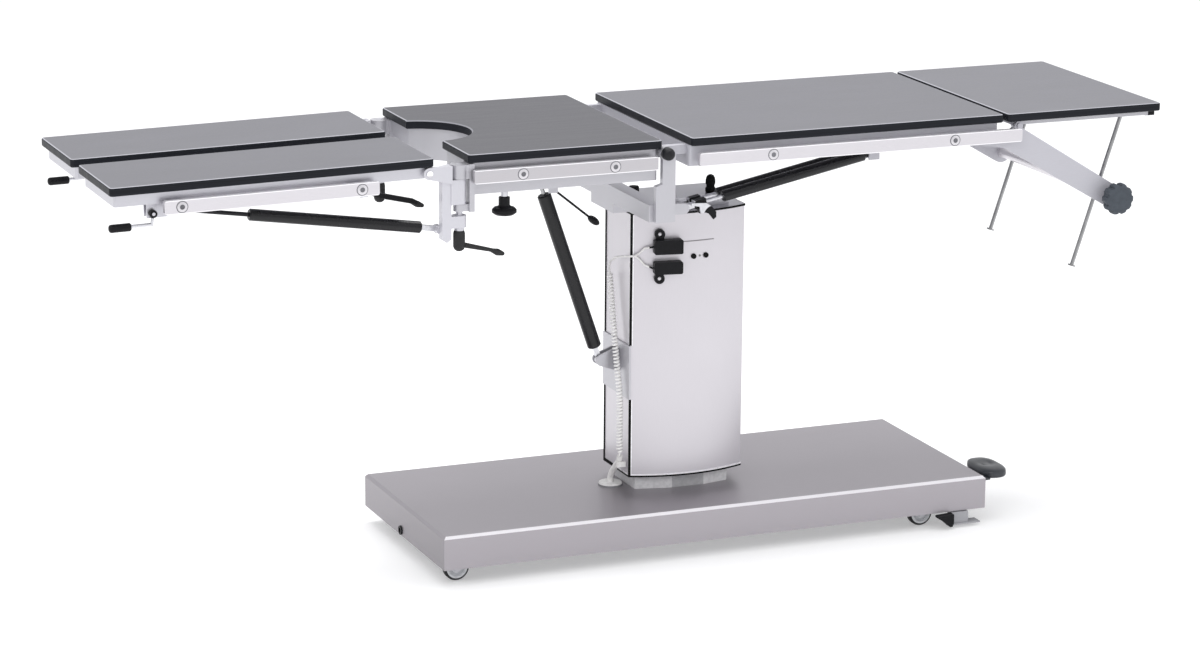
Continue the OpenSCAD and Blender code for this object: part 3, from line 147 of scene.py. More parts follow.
def tube_points(path, guides, radius, sides):
    """Rings square to the path: each ring is the path's point plus radius times the cosine of an
    angle along the guide made square to the path, plus the sine times the cross product."""
    path = np.asarray(path, float)
    ahead = np.gradient(path, axis=0)
    ahead /= np.linalg.norm(ahead, axis=1, keepdims=True)
    side = guides - ahead * (guides * ahead).sum(1, keepdims=True)
    side /= np.linalg.norm(side, axis=1, keepdims=True)
    other = np.cross(ahead, side)
    angle = full_turn(sides)
    ring = np.cos(angle)[None, :, None] * side[:, None] + np.sin(angle)[None, :, None] * other[:, None]
    return (path[:, None] + radius * ring).reshape(-1, 3)


def turned(name, profile, places, axes, body, sides=40, dark=()):
    """Turned pieces, one at each place: profile pairs of radius and height, in millimetres, swept once
    round that place's axis. The bands whose number is in dark, and the last cap, take the second finish."""
    profile = np.asarray(profile, float) * MM
    rows = len(profile)
    angle = full_turn(sides)
    points = []
    faces = []
    second = []
    for count, (centre, axis) in enumerate(zip(places, axes)):
        axis = np.asarray(axis, float) / np.linalg.norm(axis)
        helper = np.array([1.0, 0, 0]) if abs(axis[0]) < 0.9 else np.array([0, 1.0, 0])
        side = np.cross(helper, axis)
        side /= np.linalg.norm(side)
        other = np.cross(axis, side)
        ring = np.cos(angle)[:, None] * side + np.sin(angle)[:, None] * other
        points.append((
            np.asarray(centre, float)
            + profile[:, 1][:, None, None] * axis
            + profile[:, 0][:, None, None] * ring[None]
        ).reshape(-1, 3))
        faces += tube_faces(rows, sides, count * rows * sides)
        bands = np.isin(np.arange(rows - 1), dark).repeat(sides)
        second.append(np.append(bands, [False, bool(dark)]))
    mesh_piece(name, np.concatenate(points), faces, body, np.concatenate(second))


def ease(t):
    """Three t squared less two t cubed, held between 0 and 1."""
    t = np.clip(t, 0, 1)
    return t * t * (3 - 2 * t)


def bulge(wave, fullness=2.6):
    """A sine or cosine to the power of two over the fullness, its sign kept: it squares a circle."""
    return np.sign(wave) * np.abs(wave) ** (2 / fullness)


# Curly cord

CORD_X = -9 * MM
CORD_LOW = 165 * MM
CORD_HIGH = 523 * MM
CORD_ROUTE = np.array([[165, -50], [198, -47], [285, -48], [352, -28], [448, -6], [523, 11]]) * MM
CORD_SPREAD = 18 * MM
CORD_WIDTH = 4 * MM
CORD_SIDES = 12
CORD_END = 0.3 * MM
CURLS = 54
CURL_OUTER = 13 * MM
CURL_STEPS = 24


def cord_across(height):
    """Place of the cord across the table: the route's straight runs, averaged over 36 mm of height."""
    heights = [height - CORD_SPREAD, height, height + CORD_SPREAD]
    return sum(np.interp(h, CORD_ROUTE[:, 0], CORD_ROUTE[:, 1]) for h in heights) / 3


def curly_cord():
    """A helix about the hanging line: its radius grows over the first curl and shrinks over the last."""
    count = CURLS * CURL_STEPS
    i = np.arange(count + 1)
    turn = 2 * np.pi * i / CURL_STEPS
    height = CORD_LOW + CORD_WIDTH + (CORD_HIGH - CORD_LOW - 2 * CORD_WIDTH) * i / count
    grow = ease(i / CURL_STEPS) * ease((count - i) / CURL_STEPS)
    reach = (CURL_OUTER - CORD_WIDTH) / 2 * grow
    path = np.stack([
        CORD_X + reach * np.cos(turn),
        cord_across(height) + reach * np.sin(turn),
        height,
    ], 1)
    guides = np.stack([np.cos(turn), np.sin(turn), np.zeros_like(turn)], 1)
    low_end = np.array([[CORD_X, cord_across(CORD_LOW), CORD_LOW + CORD_END]])
    high_end = np.array([[CORD_X, cord_across(CORD_HIGH), CORD_HIGH - CORD_END]])
    path = np.concatenate([low_end, path, high_end])
    guides = np.concatenate([guides[:1], guides, guides[-1:]])
    points = tube_points(path, guides, CORD_WIDTH / 2, CORD_SIDES)
    faces = tube_faces(len(path), CORD_SIDES)
    piece = mesh_piece("curly_cord_wound", points, faces, None)
    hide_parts("curly_cord")
    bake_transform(piece)


curly_cord()


# Places on the frame, where screws sit and where one finish gives way to another

RAIL_HEIGHT = 0.7825
RAIL_FACE = 0.250
SEAT_SCREWS = (-0.289, -0.107)
BACK_SCREWS = (0.213, 0.5945)
LEG_SCREWS = (-0.934, -0.599)
LEG_HINGE = (-0.466, 0.793)
LEG_DROOP = math.radians(0.94)
LEG_RAIL_HEIGHT = 0.7789
LEG_RAIL_FROM = 0.2395
COVER_LOW, COVER_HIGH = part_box("column_covers")
COVER_MIDDLE = 0.123
COVER_RADIUS = 0.29098
COVER_HALF = 0.088
COVER_END_HALF = 0.063
LINE_ENDS = (0.0985, 0.167)
LINE_HEIGHT = 0.589
LAMP_PLACE = (0.1375, 0.559)
TRIM_LINE = 0.0023
TRIM_PROUD = 0.0002
TRIM_FOOT_BAND = 0.0032
TRIM_TOP_BAND = 0.004
PLATE_SHARES = (0.376, 0.71)
PLATE_HEIGHT = 0.03
PLATE_SEAM = 0.001
PLUG_MIDDLE = 0.071
PLUG_EYE_AWAY = -0.016
PLUG_EYE_DROPS = (0.041, 0.128)
PLUG_FROM = 0.034
FLANGE_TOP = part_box("cord_gland")[0][2] + 0.0032
HEAD_FRAME_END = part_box("head_panel")[1][0] - 0.0165
KNOB_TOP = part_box("seat_knob")[1][2] - 0.027
SOCKET_FACE = (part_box("power_socket")[0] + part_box("power_socket")[1]) / 2
SOCKET_PIN_REACH = 0.0045
BACK_PADDLE = (0.1134, -0.2, 0.663)
BACK_PADDLE_REACH = 0.02
BACK_EYE = (0.447, -0.177, 0.758)
BACK_EYE_REACH = 0.02
BACK_CLEVIS = 0.0775
BACK_ROD = 0.101
TILT_EYE = (-0.034, 0, 0.348)
TILT_EYE_REACH = 0.03
LEG_EYE = (-0.437, 0.195, 0.681)
LEG_EYE_REACH = 0.0335
CRANK_HUB = (-0.9766, 0.211, 0.7624)
CRANK_HUB_REACH = 0.008
CRANK_GRIP = -1.0173
SIDES = (("near", -1), ("far", 1))


def drooped(x, z):
    """A place on the straight leg, turned down about its hinge by the legs' droop."""
    across, up = x - LEG_HINGE[0], z - LEG_HINGE[1]
    return (
        LEG_HINGE[0] + across * math.cos(LEG_DROOP) - up * math.sin(LEG_DROOP),
        LEG_HINGE[1] + across * math.sin(LEG_DROOP) + up * math.cos(LEG_DROOP),
    )


def leg_eye(sign):
    """Eye of a leg spring's barrel on the swivel bracket."""
    x, y, z = LEG_EYE
    return (x, y * sign, z)


def crank_hub(sign):
    """Middle of a release handle's hub on the leg frame."""
    x, y, z = CRANK_HUB
    low_x, low_z = drooped(x, z)
    return (low_x, y * sign, low_z)


def bow(x):
    """Half width of the column's covers at x: an arc through 88 mm at the middle and 63 mm at the ends."""
    return COVER_HALF - COVER_RADIUS + np.sqrt(COVER_RADIUS ** 2 - (x - COVER_MIDDLE) ** 2)


# Small trim: profiles are pairs of radius and height in millimetres

CUP_WASHER = [
    (11.0, -0.1), (10.8, 0.4), (9.4, 0.75), (9.0, 0.65), (8.7, 0.9), (6, 1.25), (4.7, 1.35), (3.5, 1.2),
    (2.9, 0.3),
]
PLUG_SCREW = [(4.2, -0.3), (4.2, 5.6), (3.8, 6.4), (2.6, 6.9), (1.0, 7.1)]
LAMP = [(2.6, -0.2), (2.6, 0.4), (1.9, 0.7), (1.8, 0.5), (1.5, 1.3), (0.7, 1.8)]


def rail_screws(name, body, places, sign):
    """Cup washers with countersunk screws on the outer face of a rail, in front of its spacers."""
    spots = [(x, sign * RAIL_FACE, z) for x, z in places]
    turned(name, CUP_WASHER, spots, [(0, sign, 0)] * len(spots), body, dark=(0, 1, 6, 7))


def cover_line():
    """A thin dark line on the near cover, painted shade standing in for a groove: a round bar of 2.2 mm,
    half sunk, laid along the bow.
    """
    radius, proud = 0.0011, 0.0001
    sides, steps = 8, 24
    x = np.linspace(*LINE_ENDS, steps)
    path = np.stack([x, -bow(x) - proud, np.full_like(x, LINE_HEIGHT)], 1)
    guides = np.tile([0.0, 0, 1], (len(x), 1))
    points = tube_points(path, guides, radius, sides)
    mesh_piece("cover_line", points, tube_faces(steps, sides), "column")


def brake_pad():
    """Foot pedal: a thick rounded pad on a flat arm, with a ring round its pivot.

    The pad is an ellipsoid whose sines and cosines are bulged; its top sinks by 5 mm times e to the
    minus squared distance from the middle over 14 mm squared. The arm is a bulged ellipse carried
    along x, and the ring is a rectangle turned once round the pivot."""
    low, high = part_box("brake_pedal")
    end, top = high[0] - 0.064, high[2] - 0.007
    pad_from, pad_drop, pad_half_height = end + 0.006, 0.004, 0.011
    middle = ((pad_from + high[0]) / 2, (low[1] + high[1]) / 2, top - pad_drop)
    half = ((high[0] - pad_from) / 2, (high[1] - low[1]) / 2, pad_half_height)
    rim_fullness = 3.6
    dish, dish_reach = 0.005, 0.014
    sides, rings = 72, 31
    u = full_turn(sides)[None, :]
    v = np.linspace(-np.pi / 2, np.pi / 2, rings + 2)[1:-1, None]
    x = half[0] * bulge(np.cos(u)) * bulge(np.cos(v), rim_fullness)
    y = half[1] * bulge(np.sin(u)) * bulge(np.cos(v), rim_fullness)
    z = half[2] * bulge(np.sin(v), rim_fullness) + 0 * u
    z = z - dish * np.exp(-(x ** 2 + y ** 2) / dish_reach ** 2) * ease(np.sin(v) * 2)
    pad = np.stack([middle[0] + x, middle[1] + y, middle[2] + z], -1).reshape(-1, 3)
    faces = tube_faces(rings, sides)

    arm_y, pivot_x, pivot_z = low[1] + 0.015, end - 0.038, top - 0.016
    arm_from, arm_to = pivot_x + 0.0065, end + 0.02
    arm_half, arm_thick = 0.008, 0.004
    arm_rise, rise_run = 0.004, 0.012
    arm_sides, arm_rings = 24, 6
    around_arm = full_turn(arm_sides)[None, :]
    along = np.linspace(arm_from, arm_to, arm_rings)[:, None]
    arm = np.stack([
        along + 0 * around_arm,
        arm_y + arm_half * bulge(np.cos(around_arm)) + 0 * along,
        pivot_z + arm_thick * bulge(np.sin(around_arm)) + arm_rise * ease((along - end) / rise_run),
    ], -1).reshape(-1, 3)
    faces += tube_faces(arm_rings, arm_sides, len(pad))

    inner, outer, ring_half = 0.0046, 0.0075, 0.008
    ring_sides = 32
    turn = full_turn(ring_sides)[None, :]
    reach = np.array([inner, outer, outer, inner])[:, None]
    across = np.array([-ring_half, -ring_half, ring_half, ring_half])[:, None]
    ring = np.stack([
        pivot_x + reach * np.sin(turn),
        arm_y + across + 0 * turn,
        pivot_z + reach * np.cos(turn),
    ], -1).reshape(-1, 3)
    faces += tube_faces(len(reach), ring_sides, len(pad) + len(arm), closed=True)
    piece = mesh_piece("brake_pad", np.concatenate([pad, arm, ring]), faces, "brake_pedal")
    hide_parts("brake_pedal")


def plug_screws():
    """Bright screws in the eyes of both connector blocks, square to the cover at the blocks' middle."""
    turn = math.asin((PLUG_MIDDLE - COVER_MIDDLE) / COVER_RADIUS)
    x = PLUG_MIDDLE + PLUG_EYE_AWAY * math.cos(turn)
    y = -bow(PLUG_MIDDLE) + PLUG_EYE_AWAY * math.sin(turn)
    spots = [(x, y, COVER_HIGH[2] - drop) for drop in PLUG_EYE_DROPS]
    outward = (math.sin(turn), -math.cos(turn), 0)
    turned("plug_screws", PLUG_SCREW, spots, [outward] * len(spots), "column", sides=32)


def lamp():
    """The small lamp on the near cover: a turned bezel with a domed glass."""
    x, height = LAMP_PLACE
    turned("lamp", LAMP, [(x, -bow(x), height)], [(0, -1, 0)], "column", dark=(3, 4))


for side, sign in SIDES:
    seat_places = [(x, RAIL_HEIGHT) for x in SEAT_SCREWS]
    back_places = [(x, RAIL_HEIGHT) for x in BACK_SCREWS]
    leg_places = [drooped(x, LEG_RAIL_HEIGHT) for x in LEG_SCREWS]
    rail_screws("seat_rail_screws_" + side, "seat", seat_places, sign)
    rail_screws("back_rail_screws_" + side, "back", back_places, sign)
    rail_screws("leg_rail_screws_" + side, "leg_" + side, leg_places, sign)
cover_line()
brake_pad()
plug_screws()
lamp()


# Finishes

def shade(colour, factor):
    """The colour times a factor, with each share held to 1."""
    return tuple(min(1.0, c * factor) for c in colour)


class Finish:
    """A node tree for one finish, with short calls for the few nodes that it needs."""

    def __init__(self, name):
        self.material = bpy.data.materials.new(name)
        self.material.use_nodes = True
        self.tree = self.material.node_tree
        self.shader = self.tree.nodes["Principled BSDF"]
        self.place = self.tree.nodes.new("ShaderNodeTexCoord").outputs["Object"]

    def set(self, **values):
        """Sets the shader's own sockets; an underscore stands for a space in a socket's name."""
        for name, value in values.items():
            self.shader.inputs[name.replace("_", " ")].default_value = value
        return self

    def feed(self, socket, value):
        """Links an output to a socket, or sets the socket when the value is plain."""
        if hasattr(value, "is_linked"):
            self.tree.links.new(value, socket)
        else:
            socket.default_value = value

    def node(self, kind, **inputs):
        """A new node with its named sockets fed."""
        made = self.tree.nodes.new(kind)
        for name, value in inputs.items():
            self.feed(made.inputs[name.replace("_", " ")], value)
        return made

    def scaled(self, scale):
        """Object coordinates times the scale on each axis."""
        grown = self.node("ShaderNodeVectorMath")
        grown.operation = "MULTIPLY"
        self.feed(grown.inputs[0], self.place)
        grown.inputs[1].default_value = scale
        return grown.outputs[0]

    def noise(self, scale, detail=4.0, rough=0.55, stretch=(1, 1, 1)):
        """Cloudy noise on the object's coordinates; a larger stretch packs it closer on that axis."""
        made = self.node("ShaderNodeTexNoise", Scale=scale, Detail=detail, Roughness=rough)
        self.feed(made.inputs["Vector"], self.scaled(stretch))
        return made.outputs["Fac"]

    def math(self, operation, a, b=0.0, c=0.0):
        """One arithmetic step on numbers or outputs."""
        made = self.tree.nodes.new("ShaderNodeMath")
        made.operation = operation
        for socket, value in zip(made.inputs, (a, b, c)):
            self.feed(socket, value)
        return made.outputs[0]

    def off(self, value, middle):
        """How far a value is from a middle, either way."""
        return self.math("ABSOLUTE", self.math("SUBTRACT", value, middle))

    def ramp(self, value, low, high, to_low=0.0, to_high=1.0):
        """A straight, held ramp from to_low at low to to_high at high."""
        made = self.node("ShaderNodeMapRange")
        self.feed(made.inputs["Value"], value)
        for name, number in zip(("From Min", "From Max", "To Min", "To Max"), (low, high, to_low, to_high)):
            made.inputs[name].default_value = number
        return made.outputs["Result"]

    def between(self, factor, a, b):
        """The number a where the factor is 0 and b where it is 1."""
        made = self.tree.nodes.new("ShaderNodeMix")
        made.data_type = "FLOAT"
        for socket, value in zip(made.inputs[:1] + made.inputs[2:4], (factor, a, b)):
            self.feed(socket, value)
        return made.outputs[0]

    def mix(self, factor, a, b):
        """The colour a where the factor is 0 and b where it is 1."""
        made = self.tree.nodes.new("ShaderNodeMix")
        made.data_type = "RGBA"
        self.feed(made.inputs[0], factor)
        for socket, value in ((made.inputs[6], a), (made.inputs[7], b)):
            self.feed(socket, (*value, 1) if isinstance(value, tuple) else value)
        return made.outputs[2]

    def toned(self, noise, colour, dark, light, low=0.3, high=0.7):
        """The colour times dark where the noise is low, and times light where it is high."""
        return self.mix(self.ramp(noise, low, high), shade(colour, dark), shade(colour, light))

    def axes(self):
        """The object's x, y and z."""
        made = self.tree.nodes.new("ShaderNodeSeparateXYZ")
        self.feed(made.inputs[0], self.place)
        return made.outputs

    def facing(self):
        """The surface's own normal, in the part's frame."""
        made = self.tree.nodes.new("ShaderNodeSeparateXYZ")
        coords = self.tree.nodes.new("ShaderNodeTexCoord")
        self.feed(made.inputs[0], coords.outputs["Normal"])
        return made.outputs

    def bump(self, height, strength, distance=0.0004):
        """Raises the surface by a noise, through the shader's normal."""
        made = self.node("ShaderNodeBump", Strength=strength, Distance=distance)
        self.feed(made.inputs["Height"], height)
        self.feed(self.shader.inputs["Normal"], made.outputs["Normal"])

    def colour(self, output):
        self.feed(self.shader.inputs["Base Color"], output)

    def roughness(self, output):
        self.feed(self.shader.inputs["Roughness"], output)


def brushed_steel(name, colour, rough=0.34, grain=(1, 60, 60), metal=0.6, cloud=0.06, depth=0.05):
    """Satin stainless: fine lines along one axis, with broad pale clouds left by the rolling."""
    f = Finish(name).set(Metallic=metal)
    lines = f.noise(60.0, 5.0, 0.6, grain)
    clouds = f.noise(3.0, 3.0, 0.5)
    tone = f.toned(lines, colour, 1 - depth, 1 + depth)
    tone = f.mix(f.ramp(clouds, 0.3, 0.7, 0, cloud * 8), tone, shade(colour, 1.12))
    f.colour(tone)
    f.roughness(f.ramp(lines, 0.25, 0.75, rough - 0.05, rough + 0.08))
    f.bump(lines, 0.08)
    return f.material


def base_finish(name, colour):
    """Base cover: brushed along the table, with a painted highlight on the bevel along the top edges except
    the foot end, painted shade on the end faces and a little painted light on the long sides.
    """
    f = Finish(name).set(Metallic=0.8)
    nx, ny, nz = f.facing()
    lines = f.noise(60.0, 5.0, 0.6, (1, 60, 60))
    clouds = f.noise(2.4, 4.0, 0.55)
    tone = f.toned(lines, colour, 0.96, 1.05)
    tone = f.mix(f.ramp(clouds, 0.3, 0.7, 0, 0.5), tone, shade(colour, 1.1))
    # Painted shade: faces square to the table's length are darkened.
    tone = f.mix(f.ramp(f.math("ABSOLUTE", nx), 0.8, 0.95, 0, 0.75), tone, shade(colour, 0.72))
    # Painted light: the long side faces are lightened a little.
    tone = f.mix(f.ramp(f.math("ABSOLUTE", ny), 0.8, 0.95, 0, 0.8), tone, shade(colour, 1.03))
    # Painted highlight: a pale line on the rounded bevel of the top edges, left off the foot end.
    painted_fold_highlight = f.math("MULTIPLY", f.ramp(f.off(nz, 0.7), 0.14, 0.22, 1, 0), f.ramp(nx, -0.4, -0.2))
    f.colour(f.mix(painted_fold_highlight, tone, (0.86, 0.84, 0.87)))
    f.roughness(f.ramp(lines, 0.25, 0.75, 0.34, 0.46))
    f.bump(lines, 0.08)
    return f.material


def black_plastic(name, colour=(0.0065, 0.0065, 0.008), rough=0.42, grain=900.0, gloss=0.14):
    """Moulded plastic: a fine pebbled skin and a slight drift in gloss."""
    f = Finish(name).set(Specular_IOR_Level=gloss)
    pebble = f.noise(grain, 3.0, 0.6)
    drift = f.noise(25.0, 2.0, 0.5)
    f.colour(f.toned(drift, colour, 1, 1.7))
    f.roughness(f.ramp(drift, 0.3, 0.7, rough - 0.06, rough + 0.1))
    f.bump(pebble, 0.12, 0.0002)
    return f.material


def black_rubber(name):
    """Rubber: darker and duller than the plastic, with a dusty bloom in broad patches."""
    f = Finish(name).set(Specular_IOR_Level=0.1)
    dust = f.noise(45.0, 5.0, 0.65)
    pores = f.noise(1400.0, 2.0, 0.5)
    f.colour(f.mix(f.ramp(dust, 0.4, 0.8), (0.004, 0.004, 0.0045), (0.014, 0.014, 0.015)))
    f.roughness(f.ramp(dust, 0.3, 0.8, 0.62, 0.82))
    f.bump(pores, 0.15, 0.00015)
    return f.material


BOARD_TOP = (0.143, 0.142, 0.156)
BOARD_EDGE = (0.009, 0.010, 0.0135)
# Painted highlight for the boards' rounded top edge
BOARD_LIP_HIGHLIGHT = (0.42, 0.42, 0.46)


def board_finish(name, tone=1.0):
    """Boards: satin grey faces with long faint wipe marks, a painted highlight along the rounded top edge
    and a near-black cut edge.
    """
    f = Finish(name).set(Specular_IOR_Level=0.14)
    upward = f.facing()[2]
    top_colour = shade(BOARD_TOP, tone)
    streak = f.noise(7.0, 5.0, 0.6, (1, 9, 1))
    fine = f.noise(180.0, 4.0, 0.6, (1, 6, 1))
    grit = f.noise(2600.0, 2.0, 0.5)
    layers = f.noise(1.0, 3.0, 0.5, (3, 3, 900))
    top = f.toned(streak, top_colour, 0.93, 1.1, 0.35)
    top = f.mix(f.ramp(fine, 0.45, 0.8, 0, 0.25), top, shade(top_colour, 1.3))
    edge = f.toned(layers, BOARD_EDGE, 0.75, 1.6)
    # Painted highlight: a pale line where the rounded edge turns from top to side.
    lip_highlight = f.math("MULTIPLY", f.ramp(upward, 0.62, 0.78), f.ramp(upward, 0.97, 0.995, 1, 0))
    f.colour(f.mix(lip_highlight, f.mix(f.ramp(upward, 0.9, 0.98), edge, top), BOARD_LIP_HIGHLIGHT))
    f.roughness(f.ramp(f.math("ADD", streak, fine), 0.7, 1.3, 0.36, 0.5))
    f.bump(grit, 0.05, 0.0001)
    return f.material


def chrome(name):
    """Ground and polished rod: fine rings round it and a trace of oil."""
    f = Finish(name).set(Metallic=1.0)
    rings = f.noise(2400.0, 2.0, 0.5)
    film = f.noise(40.0, 3.0, 0.5)
    f.colour(f.mix(f.ramp(film, 0.3, 0.7), (0.27, 0.27, 0.275), (0.38, 0.38, 0.385)))
    f.roughness(f.ramp(film, 0.2, 0.8, 0.12, 0.24))
    f.bump(rings, 0.04, 0.0001)
    return f.material


def painted(name, colour, rough=0.4, depth=0.045):
    """Powder paint: orange peel and a slow drift in tone."""
    f = Finish(name)
    peel = f.noise(420.0, 3.0, 0.5)
    drift = f.noise(6.0, 3.0, 0.5)
    f.colour(f.toned(drift, colour, 1 - depth, 1 + depth))
    f.roughness(f.ramp(drift, 0.3, 0.7, rough - 0.04, rough + 0.06))
    f.bump(peel, 0.1, 0.0002)
    return f.material


# A look is a colour, a share of metal and a roughness; two looks blend over 0.4 mm
SATIN = (0.47, 0.465, 0.495)
BRIGHT = (0.66, 0.64, 0.67)
LEG_FRAME = (0.55, 0.545, 0.585)
BLEND = 0.0004
SATIN_LOOK = (SATIN, 0.6, 0.4)
SILVER_LOOK = ((0.62, 0.62, 0.65), 0.95, 0.28)
BLACK_LOOK = ((0.008, 0.008, 0.0095), 0.0, 0.42)
BARREL_LOOK = ((0.006, 0.006, 0.0075), 0.0, 0.26)
ROD_LOOK = ((0.012, 0.012, 0.014), 0.3, 0.3)
CLAMP_LOOK = ((0.03, 0.03, 0.031), 0.0, 0.6)
SLATE_LOOK = ((0.066, 0.076, 0.09), 0.0, 0.5)
PEDAL_LOOK = ((0.026, 0.029, 0.036), 0.0, 0.3)
RUBBER_LOOK = ((0.006, 0.006, 0.0065), 0.0, 0.7)
# Painted highlight: the bright strip of column trim beside its black line.
TRIM_HIGHLIGHT_LOOK = ((0.9, 0.89, 0.91), 0.5, 0.3)
PALE_LOOK = ((0.74, 0.73, 0.72), 0.0, 0.45)
FLANGE_LOOK = ((0.2, 0.2, 0.21), 0.3, 0.45)
WHITE_LOOK = ((0.60, 0.595, 0.605), 0.0, 0.4)
PLATE_LOOK = ((0.4, 0.4, 0.41), 0.2, 0.4)
SEAM_LOOK = ((0.16, 0.16, 0.17), 0.0, 0.5)


def past(axis, limit):
    """Mask of what lies past a limit on one axis."""
    return lambda f: f.ramp(f.axes()[axis], limit, limit + BLEND)


def before(axis, limit):
    """Mask of what lies before a limit on one axis."""
    return lambda f: f.ramp(f.axes()[axis], limit - BLEND, limit, 1, 0)


def strip(axis, first, last):
    """Mask of what lies between two limits on one axis."""
    return lambda f: f.math("MULTIPLY", past(axis, first)(f), before(axis, last)(f))


def foot_plate(first, last, top):
    """Mask of a strip along the table that ends at a height."""
    return lambda f: f.math("MULTIPLY", strip(0, first, last)(f), before(2, top)(f))


def around(centre, reach):
    """Mask of what lies within reach of a point."""
    def mask(f):
        away = f.node("ShaderNodeVectorMath")
        away.operation = "DISTANCE"
        f.feed(away.inputs[0], f.place)
        away.inputs[1].default_value = centre
        return f.ramp(away.outputs["Value"], reach, reach + 0.0006, 1, 0)
    return mask


def beside_trim(f):
    """Mask of the column trim painted as a bright highlight strip beside the black: all but a line down each
    corner and along the edges.
    """
    x = f.axes()[0]
    band = strip(2, COVER_LOW[2] + TRIM_FOOT_BAND, COVER_HIGH[2] - TRIM_TOP_BAND)(f)
    behind = past(0, COVER_LOW[0] + TRIM_LINE - BLEND / 2)(f)
    end = f.ramp(x, COVER_LOW[0] - TRIM_PROUD, COVER_LOW[0] - TRIM_PROUD / 2, 1, 0)
    inside = strip(1, TRIM_LINE - COVER_END_HALF, 0)(f)
    return f.math("MULTIPLY", band, f.math("MAXIMUM", behind, f.math("MULTIPLY", end, inside)))


def parted(name, look, *others, grain=(1, 1, 1), gloss=0.14):
    """A part of several finishes: each of the others is a mask and the look that shows where it is 1."""
    f = Finish(name).set(Specular_IOR_Level=gloss)
    skin = f.noise(140.0, 4.0, 0.55, grain)
    drift = f.noise(22.0, 3.0, 0.5)

    def drifting(rough):
        return f.ramp(drift, 0.3, 0.7, rough - 0.05, rough + 0.06)

    colour = f.toned(skin, look[0], 0.9, 1.1)
    metal = look[1]
    rough = drifting(look[2])
    for mask_of, other in others:
        mask = mask_of(f)
        colour = f.mix(mask, colour, f.toned(skin, other[0], 0.9, 1.1))
        metal = f.between(mask, metal, other[1])
        rough = f.between(mask, rough, drifting(other[2]))
    f.colour(colour)
    f.feed(f.shader.inputs["Metallic"], metal)
    f.roughness(rough)
    f.bump(skin, 0.05, 0.0002)
    return f.material


def rail_finish(name, middle, colour, slope=0.0, foot=0.0, frame_colour=None, rail_from=0.0):
    """Accessory rail: brushed along its length, with painted highlights along its corners above and below
    its middle.

    The middle's height rises by slope for each metre past foot. With a frame colour, only what lies
    outside of rail_from across the table is rail, and the rest is the satin frame."""
    corner_from, corner_to = 0.0106, 0.0116
    f = Finish(name).set(Metallic=0.85)
    x, y, z = f.axes()
    lines = f.noise(60.0, 5.0, 0.6, (1, 60, 60))
    level = f.math("SUBTRACT", z, f.math("MULTIPLY_ADD", x, slope, middle - slope * foot))
    # Painted highlight: a near-white line along the rail's upper and lower corners.
    corner = f.ramp(f.math("ABSOLUTE", level), corner_from, corner_to)
    tone = f.mix(corner, f.toned(lines, colour, 0.94, 1.05), (0.97, 0.96, 0.98))
    if frame_colour:
        outside = f.ramp(f.math("ABSOLUTE", y), rail_from, rail_from + BLEND)
        tone = f.mix(outside, f.toned(lines, frame_colour, 0.94, 1.05), tone)
    f.colour(tone)
    f.roughness(f.ramp(lines, 0.25, 0.75, 0.26, 0.4))
    f.bump(lines, 0.08)
    return f.material


def castor_finish(name, centre, turned_round):
    """Castor wheel: a pale moulded hub with painted shade over its recessed ring, inside a thin black tyre,
    by the distance from the axle.
    """
    hub_radius, groove_radius = 0.0203, 0.0125
    f = Finish(name).set(Specular_IOR_Level=0.3)
    x, y, z = f.axes()
    along, axle = (y, centre[1]) if turned_round else (x, centre[0])
    across = f.math("SUBTRACT", along, axle)
    up = f.math("SUBTRACT", z, centre[2])
    far = f.math("SQRT", f.math("ADD", f.math("MULTIPLY", across, across), f.math("MULTIPLY", up, up)))
    tyre = f.ramp(far, hub_radius, hub_radius + 0.0005)
    # Painted shade: the hub is darkened over its recessed ring.
    groove_shade = f.ramp(f.off(far, groove_radius), 0.002, 0.003, 0.6, 0)
    scuff = f.noise(120.0, 4.0, 0.6)
    hub = f.mix(f.ramp(scuff, 0.3, 0.7), (0.56, 0.57, 0.59), (0.68, 0.69, 0.71))
    hub = f.mix(groove_shade, hub, (0.3, 0.31, 0.33))
    tread = f.mix(f.ramp(scuff, 0.4, 0.8), (0.006, 0.006, 0.007), (0.022, 0.022, 0.024))
    f.colour(f.mix(tyre, hub, tread))
    f.roughness(f.ramp(scuff, 0.3, 0.7, 0.4, 0.6))
    f.bump(scuff, 0.08, 0.0002)
    return f.material


def finish(material, *names, second=None):
    """Gives each piece its material; with a second one, the piece's own split into two finishes is kept."""
    for name in names:
        target = nodes[name].data if name in nodes else bpy.data.objects[name].data
        split = np.zeros(len(target.polygons), np.int32)
        target.polygons.foreach_get("material_index", split)
        target.materials.clear()
        target.materials.append(material)
        if second:
            target.materials.append(second)
            target.polygons.foreach_set("material_index", split)


# Steel

ACROSS = (60, 1, 60)
UPRIGHT = (60, 60, 1)
finish(base_finish("base_steel", (0.366, 0.345, 0.369)), "base_cover")
finish(brushed_steel("cover_steel", (0.58, 0.56, 0.59), grain=UPRIGHT, depth=0.03), "column_covers")
finish(brushed_steel("satin_steel", SATIN), "column_head", "seat_frame")
finish(brushed_steel("satin_steel_upright", SATIN, grain=UPRIGHT), "cradle", "tilt_anchor")
finish(brushed_steel("arm_steel", (0.47, 0.465, 0.505), rough=0.45, metal=0.2), "back_frame")
finish(brushed_steel("knee_steel", (0.56, 0.555, 0.595), grain=UPRIGHT), "leg_swivel_near", "leg_swivel_far")
finish(brushed_steel("cross_tube_steel", BRIGHT, rough=0.3, grain=ACROSS), "head_cross_tube")
finish(rail_finish("seat_rail_steel", RAIL_HEIGHT, shade(BRIGHT, 0.78)), "seat_rails")
finish(rail_finish("back_rail_steel", RAIL_HEIGHT, shade(BRIGHT, 0.985)), "back_rails")
finish(chrome("polished_rod"), "tilt_spring_rod", "head_stay_rods")
